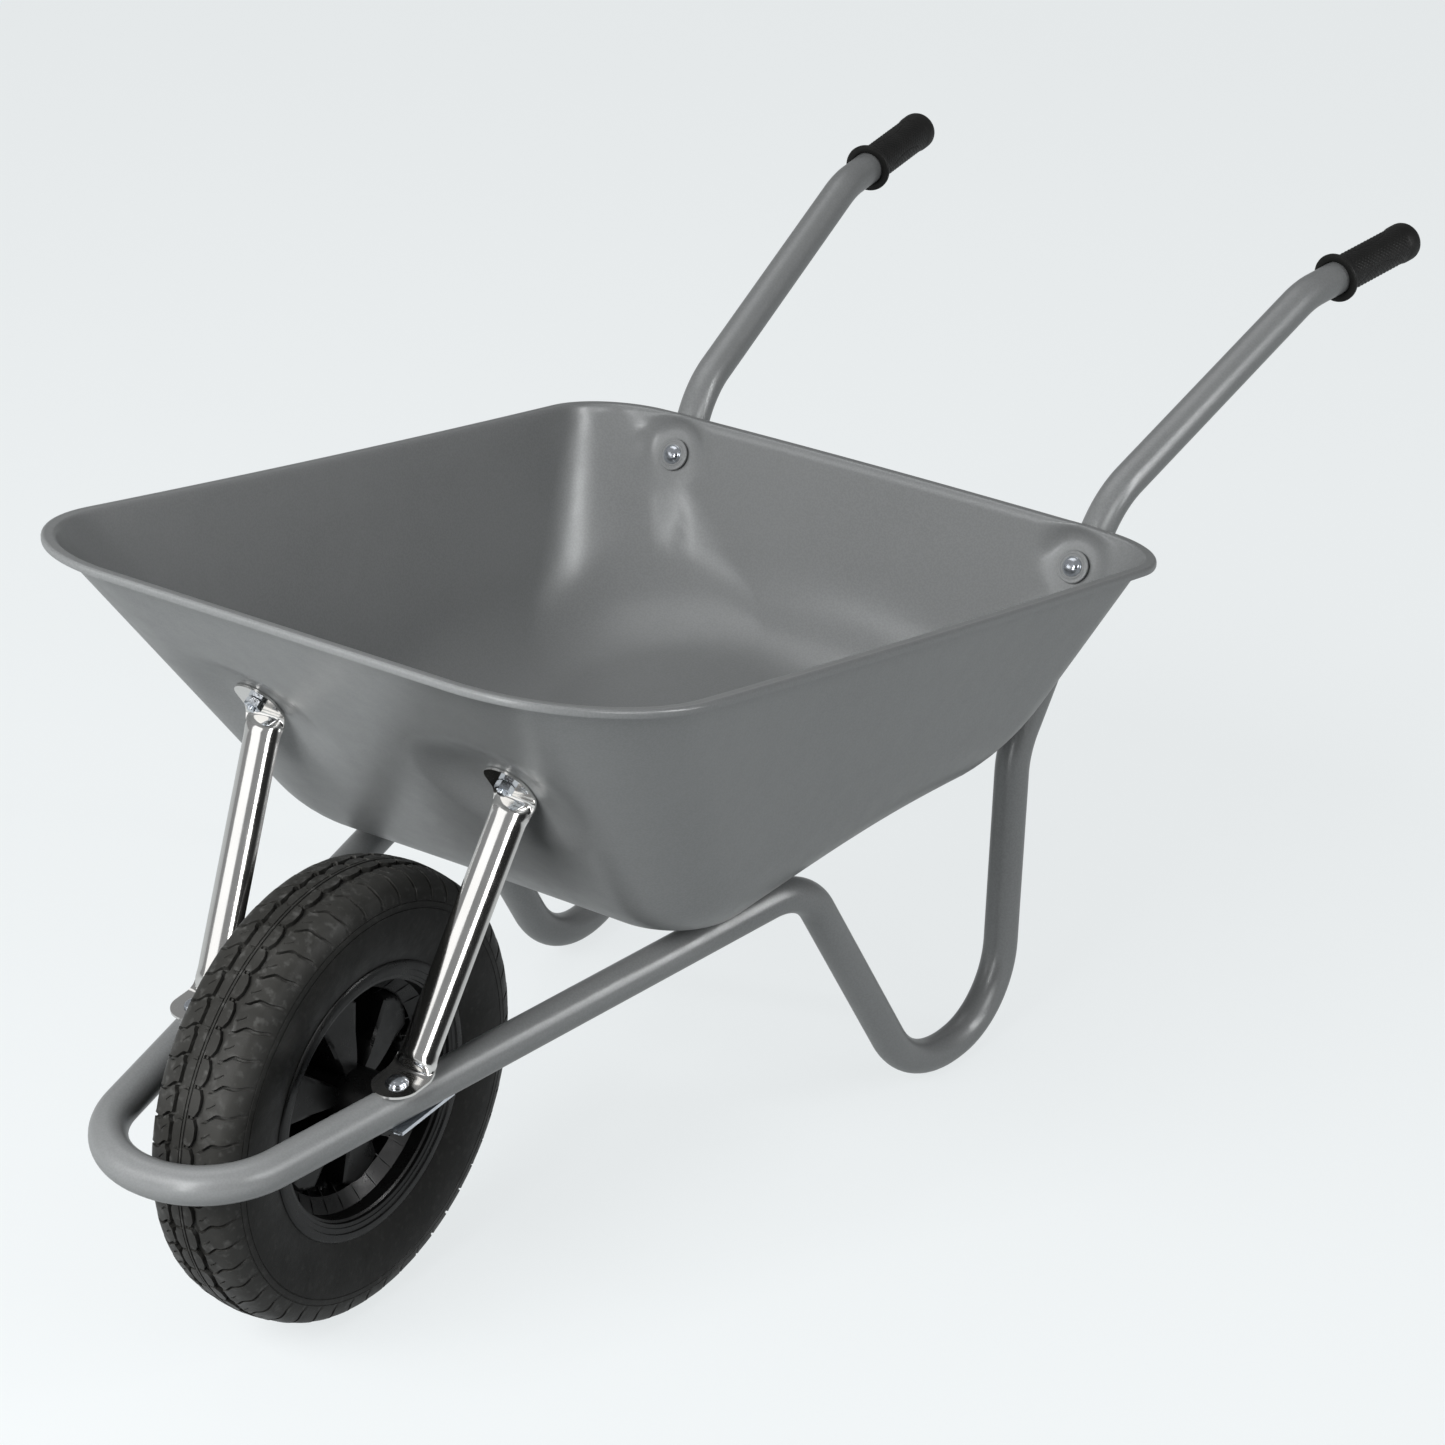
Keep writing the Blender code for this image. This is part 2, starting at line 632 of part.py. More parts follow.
def axle_bracket(side_name, side):
    """An angle bracket: one leaf under the rail, the other hanging down to hold the axle."""
    top = -(TUBE_RADIUS + GAP)
    bottom = top - BRACKET_PLATE
    axle_along, axle_up = in_rail_frame((RAIL_BOLT.x, 0, AXLE_HEIGHT))
    front = axle_along - BRACKET_END_RADIUS
    outline = [(axle_along + BRACKET_END_RADIUS, top), (front, top)]
    for turn in range(180, 361, 20):
        angle = math.radians(turn)
        outline.append((
            axle_along + BRACKET_END_RADIUS * math.cos(angle),
            axle_up + BRACKET_END_RADIUS * math.sin(angle),
        ))
    inner_x = BRACKET_X - BRACKET_PLATE / 2
    bracket = plate(
        f"axle_bracket_{side_name}", outline, inner_x, inner_x + BRACKET_PLATE, side, ZINC
    )
    behind = axle_along + BRACKET_END_RADIUS
    leaf = [(behind, bottom), (behind, top), (-BRACKET_REACH, top), (-BRACKET_REACH, bottom)]
    top_leaf = plate(
        f"bracket_leaf_{side_name}", leaf, inner_x + BRACKET_PLATE / 3,
        RAIL_BOLT.x + BRACKET_REACH, side, ZINC,
    )
    boolean(bracket, top_leaf, "UNION")
    hole = from_axle(mirrored(side, RAIL_BOLT - RAIL_UP * TUBE_RADIUS))
    drill(bracket, f"bracket_bolt_hole_{side_name}", hole, RAIL_UP, BOLT_RADIUS + GAP, 0.012)
    centre = from_axle((side * BRACKET_X, 0, AXLE_HEIGHT))
    drill(
        bracket, f"bracket_axle_hole_{side_name}", centre, (1, 0, 0),
        AXLE_END_RADIUS + GAP, 0.02, 24,
    )


def axle_set():
    """The fixed axle: shouldered ends, a spacer inside each bracket and a nut outside it."""
    centre = from_axle((0, 0, AXLE_HEIGHT))
    end = [
        (0.0, AXLE_HALF_LENGTH), (AXLE_END_RADIUS, AXLE_HALF_LENGTH),
        (AXLE_END_RADIUS, AXLE_SHOULDER), (AXLE_RADIUS, AXLE_SHOULDER),
    ]
    profile = both_sides(end)
    point_along(turned("axle", profile, STEEL, STEPS), centre, (1, 0, 0))
    plate_half = BRACKET_PLATE / 2 + GAP
    for side_name, side in SIDES:
        axis = Vector((side, 0, 0))
        low = HUB_HALF_LENGTH + GAP
        washer(
            f"axle_spacer_{side_name}", centre + axis * low, axis, 0.0100,
            AXLE_RADIUS + GAP, SPACER_LENGTH, ZINC,
        )
        hex_nut(
            f"axle_nut_{side_name}", centre + axis * (BRACKET_X + plate_half), axis, NUT_FLATS,
            NUT_HEIGHT, AXLE_END_RADIUS + GAP,
        )


# ---- wheel -------------------------------------------------------------------------------

WHEEL_CENTRE = from_axle((0, 0, AXLE_HEIGHT))
WHEEL_AXIS = Vector((1, 0, 0))


def both_sides(half):
    """A profile and its mirror image, from its middle round the top, given from +Z to zero."""
    return half + [(radius, -height) for radius, height in reversed(half)]


def on_axle(obj):
    return point_along(obj, WHEEL_CENTRE, WHEEL_AXIS)


def tyre():
    """An open carcass with a flat-crowned tread and one groove each side of the crown."""
    outside = [
        (0.1025, 0.0182), (0.1025, 0.0288), (0.1045, 0.0310), (0.1143, 0.0336),
        (0.1260, 0.0390), (0.1400, 0.0410), (0.1560, 0.0410), (0.1690, 0.0382),
        (0.1785, 0.0325), (0.1832, 0.0215), (WHEEL_RADIUS, 0.0060),
    ]
    inside = [
        (0.1785, 0.0060), (0.1765, 0.0190), (0.1670, 0.0320), (0.1560, 0.0350),
        (0.1400, 0.0350), (0.1260, 0.0325), (0.1150, 0.0275), (0.1045, 0.0165),
    ]
    outer = both_sides(outside)
    inner = [(radius, -height) for radius, height in reversed(inside)]
    inner += inside
    on_axle(turned("tyre", outer + inner, RUBBER, TYRE_STEPS, closed=True))


def inner_tube():
    """A hollow ring of thin rubber, open where the valve stem enters."""
    outside = [
        (0.1040, 0.0090), (0.1150, 0.0262), (0.1400, 0.0338), (0.1560, 0.0338),
        (0.1660, 0.0310), (0.1752, 0.0180), (0.1778, 0.0060),
    ]
    outer = both_sides(outside)
    shell = on_axle(turned("inner_tube", outer, BUTYL, TYRE_STEPS, closed=True))
    wall = shell.modifiers.new("wall", "SOLIDIFY")
    wall.thickness = 0.0018
    wall.offset = -1
    drill(shell, "valve_entry", valve_point(0.104), valve_axis(), 0.0040, 0.012)


# The valve stands behind a petal, where there is room to reach it.
VALVE_TURN = PETAL_TURN + math.radians(60)
VALVE_SIDE = -0.0050


def valve_axis():
    return Vector((0, math.sin(VALVE_TURN), math.cos(VALVE_TURN)))


def valve_point(radius):
    return WHEEL_CENTRE + valve_axis() * radius + WHEEL_AXIS * VALVE_SIDE


def barrel():
    """The rim's ring: two flanges, two bead seats and a well between them."""
    outer = [
        (FLANGE_RADIUS, RIM_HALF_WIDTH), (FLANGE_RADIUS, 0.0342), (0.1035, 0.0316),
        (BEAD_RADIUS, 0.0290), (BEAD_RADIUS, 0.0170), (0.0900, 0.0100),
    ]
    inner = [(0.0850, -0.0100), (0.0965, -0.0180), (0.0975, -0.0340), (0.1035, -RIM_HALF_WIDTH)]
    profile = both_sides(outer) + inner[::-1] + [(r, -z) for r, z in inner]
    return on_axle(turned("wheel_rim", profile, RIM_PLASTIC, STEPS, closed=True))


def hub():
    """A sleeve with a seat at each end for a bearing."""
    half = HUB_HALF_LENGTH
    seat = BEARING_RADIUS + GAP / 2
    floor = half - BEARING_LENGTH - GAP
    profile = [
        (seat, half), (HUB_RADIUS - 0.003, half), (HUB_RADIUS, 0.030), (HUB_RADIUS, -0.030),
        (HUB_RADIUS - 0.003, -half), (seat, -half), (seat, -floor), (0.0090, -floor),
        (0.0090, floor), (seat, floor),
    ]
    return on_axle(turned("rim_hub", profile, RIM_PLASTIC, HUB_STEPS, closed=True))


# Within one petal and the pocket beside it: angle in degrees, and which face it is on.
PETAL_PROFILE = ((-14, 1), (0, 1), (14, 1), (18, -1), (30, -1), (42, -1))
# Radius, and how much of the petal's depth is reached there.
PETAL_RINGS = ((0.0190, 1.0), (0.0500, 0.90), (0.0760, 0.70), (0.0800, 0.20), (0.0868, 0.20))


def petal_web():
    """A folded disc: petals stand out on one face and leave pockets on the other."""
    bm = bmesh.new()
    loops = []
    for radius, share in PETAL_RINGS:
        loop = []
        for petal in range(PETALS):
            for degrees, face in PETAL_PROFILE:
                angle = PETAL_TURN + math.radians(degrees + petal * 360 / PETALS)
                height = face * share * PETAL_DEPTH
                loop.append(bm.verts.new((
                    -radius * math.cos(angle), radius * math.sin(angle), height
                )))
        loops.append(loop)
    count = len(loops[0])
    for inner, outer in zip(loops, loops[1:]):
        for i in range(count):
            j = (i + 1) % count
            bm.faces.new((inner[i], inner[j], outer[j], outer[i]))
    web = on_axle(mesh_object("rim_web", bm, RIM_PLASTIC))
    thick = web.modifiers.new("thick", "SOLIDIFY")
    thick.thickness = 0.0030
    thick.offset = 0
    return web


def wheel_rim():
    """Moulded in one piece: hub, folded web and barrel."""
    rim = barrel()
    boolean(rim, petal_web(), "UNION")
    boolean(rim, hub(), "UNION")
    drill(rim, "valve_hole", valve_point(0.090), valve_axis(), 0.0042, 0.022)


def wheel_bearings():
    low = HUB_HALF_LENGTH - BEARING_LENGTH
    bore = AXLE_RADIUS + RUNNING_GAP
    for side_name, side in SIDES:
        start = WHEEL_CENTRE + WHEEL_AXIS * side * low
        profile = [
            (BEARING_RADIUS, BEARING_LENGTH), (BEARING_RADIUS, 0.0), (bore, 0.0),
            (bore, BEARING_LENGTH),
        ]
        ring = turned(f"wheel_bearing_{side_name}", profile, STEEL, STEPS, closed=True)
        point_along(ring, start, WHEEL_AXIS * side)


def valve():
    """The stem stands in from the tube through the rim's well, with a cap on its end."""
    stem = [
        (0.0, 0.1050), (0.0032, 0.1045), (0.0032, 0.0800), (0.0025, 0.0795),
        (0.0025, 0.0700), (0.0, 0.0700),
    ]
    foot = WHEEL_CENTRE + WHEEL_AXIS * VALVE_SIDE
    point_along(turned("valve_stem", stem, BUTYL, SMALL_STEPS), foot, valve_axis())
    cap = [
        (0.0028, 0.0785), (0.0040, 0.0785), (0.0040, 0.0670), (0.0030, 0.0660),
        (0.0, 0.0660), (0.0, 0.0685), (0.0028, 0.0690),
    ]
    point_along(turned("valve_cap", cap, GRIP_PLASTIC, SMALL_STEPS, closed=True), foot, valve_axis())


# ---- grips -------------------------------------------------------------------------------


def grip(side_name, side):
    """A closed-end sleeve with a collar at its mouth, pushed over the tube's end."""
    end = mirrored(side, HANDLE_END)
    bend = mirrored(side, FRAME_CORNERS[-1][0])
    axis = (end - bend).normalized()
    tip = 0.0060
    bore = TUBE_RADIUS + GAP
    mouth = tip - GRIP_LENGTH
    profile = [
        (0.0, tip), (GRIP_RADIUS * 0.55, tip - 0.0008), (GRIP_RADIUS * 0.88, tip - 0.0035),
        (GRIP_RADIUS + 0.0006, tip - 0.0090), (GRIP_RADIUS + 0.0006, tip - 0.0200),
        (GRIP_RADIUS, tip - 0.0300), (GRIP_RADIUS, mouth + 0.0100),
        (GRIP_COLLAR - 0.0012, mouth + 0.0055), (GRIP_COLLAR, mouth + 0.0035),
        (GRIP_COLLAR, mouth + 0.0010), (GRIP_COLLAR - 0.0010, mouth), (bore, mouth),
        (bore, 0.0010), (0.0, 0.0010),
    ]
    sleeve = turned(f"grip_{side_name}", profile, GRIP_PLASTIC, 20)
    point_along(sleeve, from_axle(end), axis)


# ---- the whole barrow --------------------------------------------------------------------


def build():
    frame_tube()
    pan()
    for side_name, side in SIDES:
        pan_bolts(side_name, side)
        strut(side_name, side)
        strut_bolts(side_name, side)
        axle_bracket(side_name, side)
        grip(side_name, side)
    axle_set()
    wheel_rim()
    tyre()
    inner_tube()
    wheel_bearings()
    valve()


build()
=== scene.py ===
"""Looks for the wheelbarrow: fine surfaces, materials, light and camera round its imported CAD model.

Metres. +Z is up, the wheel is at the -Y end, the grips are at the +Y end, and +X is the left side.
As in the CAD model, lengths along Y in the dimensions below are measured from the wheel's axle.
"""

from math import atan2, cos, hypot, pi, radians, sin, sqrt, tan

import bmesh
import bpy
import numpy as np
from mathutils import Matrix, Vector

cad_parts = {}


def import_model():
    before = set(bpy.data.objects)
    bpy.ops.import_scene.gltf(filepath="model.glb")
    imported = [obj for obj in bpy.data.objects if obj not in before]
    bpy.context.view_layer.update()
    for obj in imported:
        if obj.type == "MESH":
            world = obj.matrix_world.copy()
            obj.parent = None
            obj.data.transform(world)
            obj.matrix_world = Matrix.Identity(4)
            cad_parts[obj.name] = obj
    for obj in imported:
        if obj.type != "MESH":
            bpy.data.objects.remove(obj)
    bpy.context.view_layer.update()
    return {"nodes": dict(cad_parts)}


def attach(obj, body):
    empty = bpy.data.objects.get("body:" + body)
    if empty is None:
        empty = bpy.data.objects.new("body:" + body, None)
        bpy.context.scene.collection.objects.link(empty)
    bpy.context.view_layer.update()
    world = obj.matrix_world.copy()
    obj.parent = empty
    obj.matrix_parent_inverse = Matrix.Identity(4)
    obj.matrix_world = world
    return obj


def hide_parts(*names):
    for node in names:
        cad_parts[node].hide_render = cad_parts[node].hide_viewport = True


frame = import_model()

# ---- driving dimensions, the same as the CAD model's ----

AXLE_Y = -0.505
AXLE_HEIGHT = 0.1855
GAP = 0.0003
SEAT_GAP = 0.0021

TUBE_RADIUS = 0.015
FRAME_CORNERS = [
    ((0.0635, -0.2222, 0.2154), 0.075),  # front loop
    ((0.1823, 0.3760, 0.2649), 0.066),  # rail turns down to the foot
    ((0.1913, 0.5464, 0.0087), 0.107),  # foot, front bend
    ((0.1991, 0.6778, 0.0226), 0.074),  # foot, rear bend
    ((0.1957, 0.6863, 0.2690), 0.087),  # top of the leg
    ((0.2127, 0.7969, 0.4682), 0.088),  # behind the pan's rear lip
    ((0.2439, 1.0805, 0.5817), 0.100),  # grip bend
]
HANDLE_END = (0.2619, 1.2411, 0.5919)

SHEET = 0.0012
LIP_WIDTH = 0.0115
LIP_FRONT = (0.2929, -0.0666, 0.6000)
LIP_REAR = (0.3051, 0.7723, 0.4497)
LIP_CORNERS = (0.1339, 0.0748)
LIP_SAG = 0.0036
LIP_FRONT_BOW = (-0.003, 0.002)
LIP_REAR_BOW = (-0.010, 0.008)
FLOOR_FRONT = (0.2016, 0.1960, 0.2712)
FLOOR_REAR = (0.2400, 0.7180, 0.2905)
FLOOR_CORNERS = (0.0650, 0.1600)
BEND_UP_WALL = 0.080
BEND_ON_FLOOR = 0.075

FLANGE_RADIUS = 0.1143
HUB_RADIUS = 0.024
HUB_HALF_LENGTH = 0.056
BEARING_RADIUS = 0.0160
PETALS = 6
PETAL_DEPTH = 0.017
PETAL_TURN = radians(-9)
AXLE_RADIUS = 0.006
AXLE_SHOULDER = 0.0580
AXLE_END_RADIUS = 0.0040
AXLE_HALF_LENGTH = 0.0705
SPACER_LENGTH = 0.0015

STRIP = 0.002
TAB_RADIUS = 0.0195
CHANNEL_DEPTH = 0.011
BOLT_RADIUS = 0.004
NUT_FLATS = 0.013
NUT_HEIGHT = 0.0065
WASHER_RADIUS = 0.0145
WASHER_THICKNESS = 0.002
TAB_FOLD = 0.0190
BRACKET_PLATE = 0.003
BRACKET_X = 0.0600
RAIL_BOLT_Y = -0.0474
WALL_BOLT = (0.1201, 0.0595, 0.4628)
REAR_BOLT_HEIGHT = 0.4125

GRIP_LENGTH = 0.1205
GRIP_RADIUS = 0.0172
GRIP_COLLAR = 0.0225

SIDES = (("left", 1), ("right", -1))

# ---- mesh helpers ----

# Faces that meet at more than this angle have a crisp edge between them.
SHARP_DEGREES = 38


def from_axle(point):
    """A point measured from the axle's place along Y, moved into the barrow's own frame."""
    return Vector((point[0], point[1] + AXLE_Y, point[2]))


def mirrored(side, point):
    return Vector((side * point[0], point[1], point[2]))


def clamped(value):
    return min(1.0, max(0.0, value))


def smoothstep(value):
    value = clamped(value)
    return value * value * (3 - 2 * value)


def rise(value, start, end):
    """0 up to the start, 1 from the end on, and a smooth rise between them."""
    return smoothstep((value - start) / (end - start))


def linked(name, data):
    obj = bpy.data.objects.new(name, data)
    bpy.context.scene.collection.objects.link(obj)
    return obj


def crisp(mesh, sharp_degrees):
    """Smooth shading that leaves a mesh's steep edges sharp."""
    mesh.shade_smooth()
    mesh.set_sharp_from_angle(angle=radians(sharp_degrees))


def finished(name, bm, look, sharp_degrees=SHARP_DEGREES):
    """Turns a bmesh into an object with a material, smooth but for its steep edges."""
    bmesh.ops.remove_doubles(bm, verts=bm.verts, dist=0.000002)
    bmesh.ops.recalc_face_normals(bm, faces=bm.faces)
    mesh = bpy.data.meshes.new(name)
    bm.to_mesh(mesh)
    bm.free()
    crisp(mesh, sharp_degrees)
    mesh.materials.append(look)
    return linked(name, mesh)


def add_grid(bm, rows, wrap_rows=False, wrap_columns=True, caps=False):
    """Adds a surface woven through rows of points. Caps close its first and last row."""
    loops = [[bm.verts.new(point) for point in row] for row in rows]
    columns = len(loops[0])
    pairs = list(zip(loops, loops[1:]))
    if wrap_rows:
        pairs.append((loops[-1], loops[0]))
    for first, second in pairs:
        for i in range(columns if wrap_columns else columns - 1):
            j = (i + 1) % columns
            bm.faces.new((first[i], first[j], second[j], second[i]))
    if caps:
        bm.faces.new(loops[0][::-1])
        bm.faces.new(loops[-1])
    return loops


def woven(name, rows, look, sharp=SHARP_DEGREES, **closing):
    """An object whose surface is woven through rows of points."""
    bm = bmesh.new()
    add_grid(bm, rows, **closing)
    return finished(name, bm, look, sharp)


def full_turn(steps):
    return [2 * pi * step / steps for step in range(steps)]


def facing(axis):
    """The rotation that takes +Z to an axis."""
    return Vector((0, 0, 1)).rotation_difference(axis).to_matrix()


def round_axis(origin, turn, radius, angle, height):
    """A point at a radius, an angle and a height about an axis that faces a turned +Z."""
    local = Vector((radius * cos(angle), radius * sin(angle), height))
    return origin + turn @ local


def turned_rows(profile, origin, axis, steps):
    """Rings of a turned shape: (radius, height) pairs round an axis through the origin."""
    turn = facing(axis)
    rows = []
    for radius, height in profile:
        rows.append([round_axis(origin, turn, radius, a, height) for a in full_turn(steps)])
    return rows


def turned(name, profile, origin, axis, look, steps=64, closed=False, sharp=SHARP_DEGREES):
    return woven(name, turned_rows(profile, origin, axis, steps), look, sharp, wrap_rows=closed)


def both_ways(half):
    """A half profile and its mirror image, for a turned shape with two equal ends."""
    return half + [(radius, -height) for radius, height in reversed(half)]


def arc(centre, radius, start_degrees, end_degrees, steps):
    """(radius, height) pairs along a rounded corner of a turned profile."""
    sweep = end_degrees - start_degrees
    angles = [radians(start_degrees + sweep * step / steps) for step in range(steps + 1)]
    return [(centre[0] + radius * cos(a), centre[1] + radius * sin(a)) for a in angles]


def straight_run(start, end, shares):
    return [start.lerp(end, share) for share in shares]


def rounded_path(corners, radii, bend_steps, run_shares):
    """Points along straight runs joined by arcs, with one radius for each inner corner."""
    corners = [Vector(corner) for corner in corners]
    points = [corners[0].copy()]
    for index, radius in enumerate(radii, start=1):
        corner = corners[index]
        back = (corners[index - 1] - corner).normalized()
        ahead = (corners[index + 1] - corner).normalized()
        half_angle = back.angle(ahead) / 2
        centre = corner + (back + ahead).normalized() * radius / sin(half_angle)
        start = corner + back * radius / tan(half_angle)
        points += straight_run(points[-1], start, run_shares[index - 1])
        from_centre = (start - centre).normalized()
        sweep = pi - 2 * half_angle
        for step in range(1, bend_steps + 1):
            angle = sweep * step / bend_steps
            arm = from_centre * cos(angle) - back * sin(angle)
            points.append(centre + arm * radius)
    return points + straight_run(points[-1], corners[-1], run_shares[-1])


def direction_at(path, index):
    before = path[max(index - 1, 0)]
    after = path[min(index + 1, len(path) - 1)]
    return (after - before).normalized()


def even_shares(count):
    return [step / count for step in range(1, count + 1)]


def quadratic(start, control, end, steps):
    """Points along a curved corner."""
    start, control, end = (Vector(point) for point in (start, control, end))
    shares = [0.0] + even_shares(steps)
    return [start * (1 - t) ** 2 + control * (2 * t * (1 - t)) + end * t**2 for t in shares]


def on_line(start, end, coordinate, value):
    """The point of the line through start and end where one coordinate has this value."""
    part = (value - start[coordinate]) / (end[coordinate] - start[coordinate])
    return start.lerp(end, part)


def fitted(obj, body, node):
    """Puts a finished piece on its body, in the place of the CAD node that it stands for."""
    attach(obj, body)
    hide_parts(node)


# ---- places that several pieces share ----

RAIL_START = Vector(FRAME_CORNERS[0][0])
RAIL_END = Vector(FRAME_CORNERS[1][0])
LEG_TOP = Vector(FRAME_CORNERS[4][0])
LIP_BEND = Vector(FRAME_CORNERS[5][0])

RAIL_BOLT = on_line(RAIL_START, RAIL_END, 1, RAIL_BOLT_Y)
RAIL_PITCH = atan2(RAIL_END.z - RAIL_START.z, RAIL_END.y - RAIL_START.y)
RAIL_UP = Vector((0, -sin(RAIL_PITCH), cos(RAIL_PITCH)))
RAIL_ALONG = Vector((0, cos(RAIL_PITCH), sin(RAIL_PITCH)))

HANDLE_BOLT = on_line(LEG_TOP, LIP_BEND, 2, REAR_BOLT_HEIGHT)
HANDLE_RISE = LIP_BEND - LEG_TOP
REAR_AXIS = Vector((0, HANDLE_RISE.z, -HANDLE_RISE.y)).normalized()
REAR_PAD = HANDLE_BOLT - REAR_AXIS * (TUBE_RADIUS + GAP)

WALL_TOP_FRONT = Vector((0, LIP_FRONT[1] + LIP_WIDTH, LIP_FRONT[2]))
WALL_FOOT_FRONT = Vector((0, FLOOR_FRONT[1], FLOOR_FRONT[2]))
WALL_UP = (WALL_TOP_FRONT - WALL_FOOT_FRONT).normalized()
WALL_OUT = Vector((0, -WALL_UP.z, WALL_UP.y))
FRONT_PAD = Vector(WALL_BOLT)
BACK = Vector((0, 1, 0))

WHEEL_CENTRE = from_axle((0, 0, AXLE_HEIGHT))
WHEEL_AXIS = Vector((1, 0, 0))

# ---- materials ----

# The rubber turns from shiny black to greyer between these distances from the axle: partly scuffs and
# dust on the tread, partly a painted sheen that stands for the light the tread catches.
TREAD_START = (0.156, 0.172)


def add_node(tree, kind, values=None, **settings):
    """Adds a shader node with its settings, and with values for inputs that nothing feeds."""
    node = tree.nodes.new("ShaderNode" + kind)
    for setting, value in settings.items():
        setattr(node, setting, value)
    for socket, value in (values or {}).items():
        node.inputs[socket].default_value = value
    return node


class Look:
    """A node material under construction: its shader, and short ways to add nodes to it."""

    def __init__(self, name, roughness, metallic=0.0, specular=0.5):
        self.material = bpy.data.materials.new(name)
        self.material.use_nodes = True
        self.tree = self.material.node_tree
        self.shader = self.tree.nodes["Principled BSDF"]
        values = {"Metallic": metallic, "Roughness": roughness, "Specular IOR Level": specular}
        for socket, value in values.items():
            self.shader.inputs[socket].default_value = value
        self.place = add_node(self.tree, "TexCoord").outputs["Object"]

    def feed(self, output, node, socket):
        self.tree.links.new(output, node.inputs[socket])

    def stretched(self, scale):
        """The object's own coordinates, scaled, for a pattern with a direction."""
        mapping = add_node(self.tree, "Mapping", {"Scale": scale})
        self.feed(self.place, mapping, "Vector")
        return mapping.outputs["Vector"]

    def noise(self, scale, detail=2.0, place=None):
        texture = add_node(self.tree, "TexNoise", {"Scale": scale, "Detail": detail})
        self.feed(place or self.place, texture, "Vector")
        return texture.outputs["Fac"]

    def radius_round_wheel(self):
        """Distance from the wheel's axle."""
        flatten = {1: (0.0, 1.0, 1.0), 2: -WHEEL_CENTRE}
        arm = add_node(self.tree, "VectorMath", flatten, operation="MULTIPLY_ADD")
        self.feed(self.place, arm, 0)
        length = add_node(self.tree, "VectorMath", operation="LENGTH")
        self.feed(arm.outputs["Vector"], length, 0)
        return length.outputs["Value"]

    def spread(self, value, low=0.0, high=1.0, from_low=0.3, from_high=0.7):
        """Maps a noise value, which mostly stays between 0.3 and 0.7, to a wanted range."""
        ends = {"From Min": from_low, "From Max": from_high, "To Min": low, "To Max": high}
        ranged = add_node(self.tree, "MapRange", ends)
        self.feed(value, ranged, "Value")
        return ranged.outputs["Result"]

    def blend(self, factor, first, second):
        """A colour between two, by a factor. Each is a colour or another node's output."""
        mix = add_node(self.tree, "Mix", data_type="RGBA")
        self.feed(factor, mix, "Factor")
        for socket, colour in ((6, first), (7, second)):
            if isinstance(colour, tuple):
                mix.inputs[socket].default_value = (*colour, 1.0)
            else:
                self.feed(colour, mix, socket)
        return mix.outputs[2]

    def colour(self, output):
        self.feed(output, self.shader, "Base Color")

    def roughness(self, scale, detail, low, high):
        """Roughness that varies between two values."""
        varied = self.spread(self.noise(scale, detail), low, high)
        self.feed(varied, self.shader, "Roughness")

    def bumps(self, *layers):
        """Stacks bump layers, each given as (height output, depth in metres)."""
        normal = None
        for height, depth in layers:
            bump = add_node(self.tree, "Bump", {"Strength": 1.0, "Distance": depth})
            self.feed(height, bump, "Height")
            if normal:
                self.feed(normal, bump, "Normal")
            normal = bump.outputs["Normal"]
        self.feed(normal, self.shader, "Normal")


def powder_coat():
    """Satin grey powder coat: a fine, even orange peel and very slight cloudiness."""
    look = Look("powder_coat", 0.38, metallic=0.35)
    cloud = look.spread(look.noise(5.0, 3.0))
    grain = look.spread(look.noise(600.0, 1.0))
    base = look.blend(cloud, (0.166, 0.172, 0.173), (0.182, 0.188, 0.189))
    look.colour(look.blend(look.spread(grain, 0.0, 0.5), base, (0.206, 0.212, 0.214)))
    look.roughness(60.0, 4.0, 0.28, 0.35)
    look.bumps((look.noise(700.0, 1.0), 0.00003), (look.noise(160.0, 1.0), 0.00003))
    return look.material


def chrome_plate():
    """Bright plate with a faint draw-line texture along the strip and soft hazy patches."""
    look = Look("chromed_strut", 0.08, metallic=1.0)
    lines = look.noise(1.0, 3.0, look.stretched((900.0, 60.0, 40.0)))
    haze = look.spread(look.noise(14.0))
    look.colour(look.blend(haze, (0.84, 0.83, 0.81), (0.93, 0.92, 0.90)))
    look.roughness(40.0, 4.0, 0.09, 0.14)
    look.bumps((lines, 0.000003), (look.noise(14.0, 1.0), 0.00020))
    return look.material


def mottled(look, patches, dark, light, roughness, *bumps):
    """Cloudy patches of two colours, uneven roughness, and bumps of (scale, detail, depth)."""
    look.colour(look.blend(look.spread(look.noise(*patches)), dark, light))
    look.roughness(*roughness)
    look.bumps(*((look.noise(scale, detail), depth) for scale, detail, depth in bumps))
    return look.material


def bright_zinc():
    """Zinc-plated fastener: bright, slightly cloudy, with fine handling marks."""
    look = Look("bright_zinc", 0.2, metallic=1.0)
    return mottled(
        look, (160.0, 3.0), (0.70, 0.74, 0.80), (0.86, 0.90, 0.96), (420.0, 4.0, 0.14, 0.24),
        (900.0, 3.0, 0.00003),
    )


def plain_steel(name, roughness):
    """Turned steel with fine rings round its X axis."""
    look = Look(name, roughness, metallic=1.0)
    rings = look.noise(1.0, 2.0, look.stretched((2500.0, 30.0, 30.0)))
    shine = look.spread(rings)
    look.colour(look.blend(shine, (0.40, 0.40, 0.41), (0.56, 0.56, 0.57)))
    look.roughness(300.0, 3.0, roughness - 0.06, roughness + 0.08)
    look.bumps((rings, 0.00003))
    return look.material


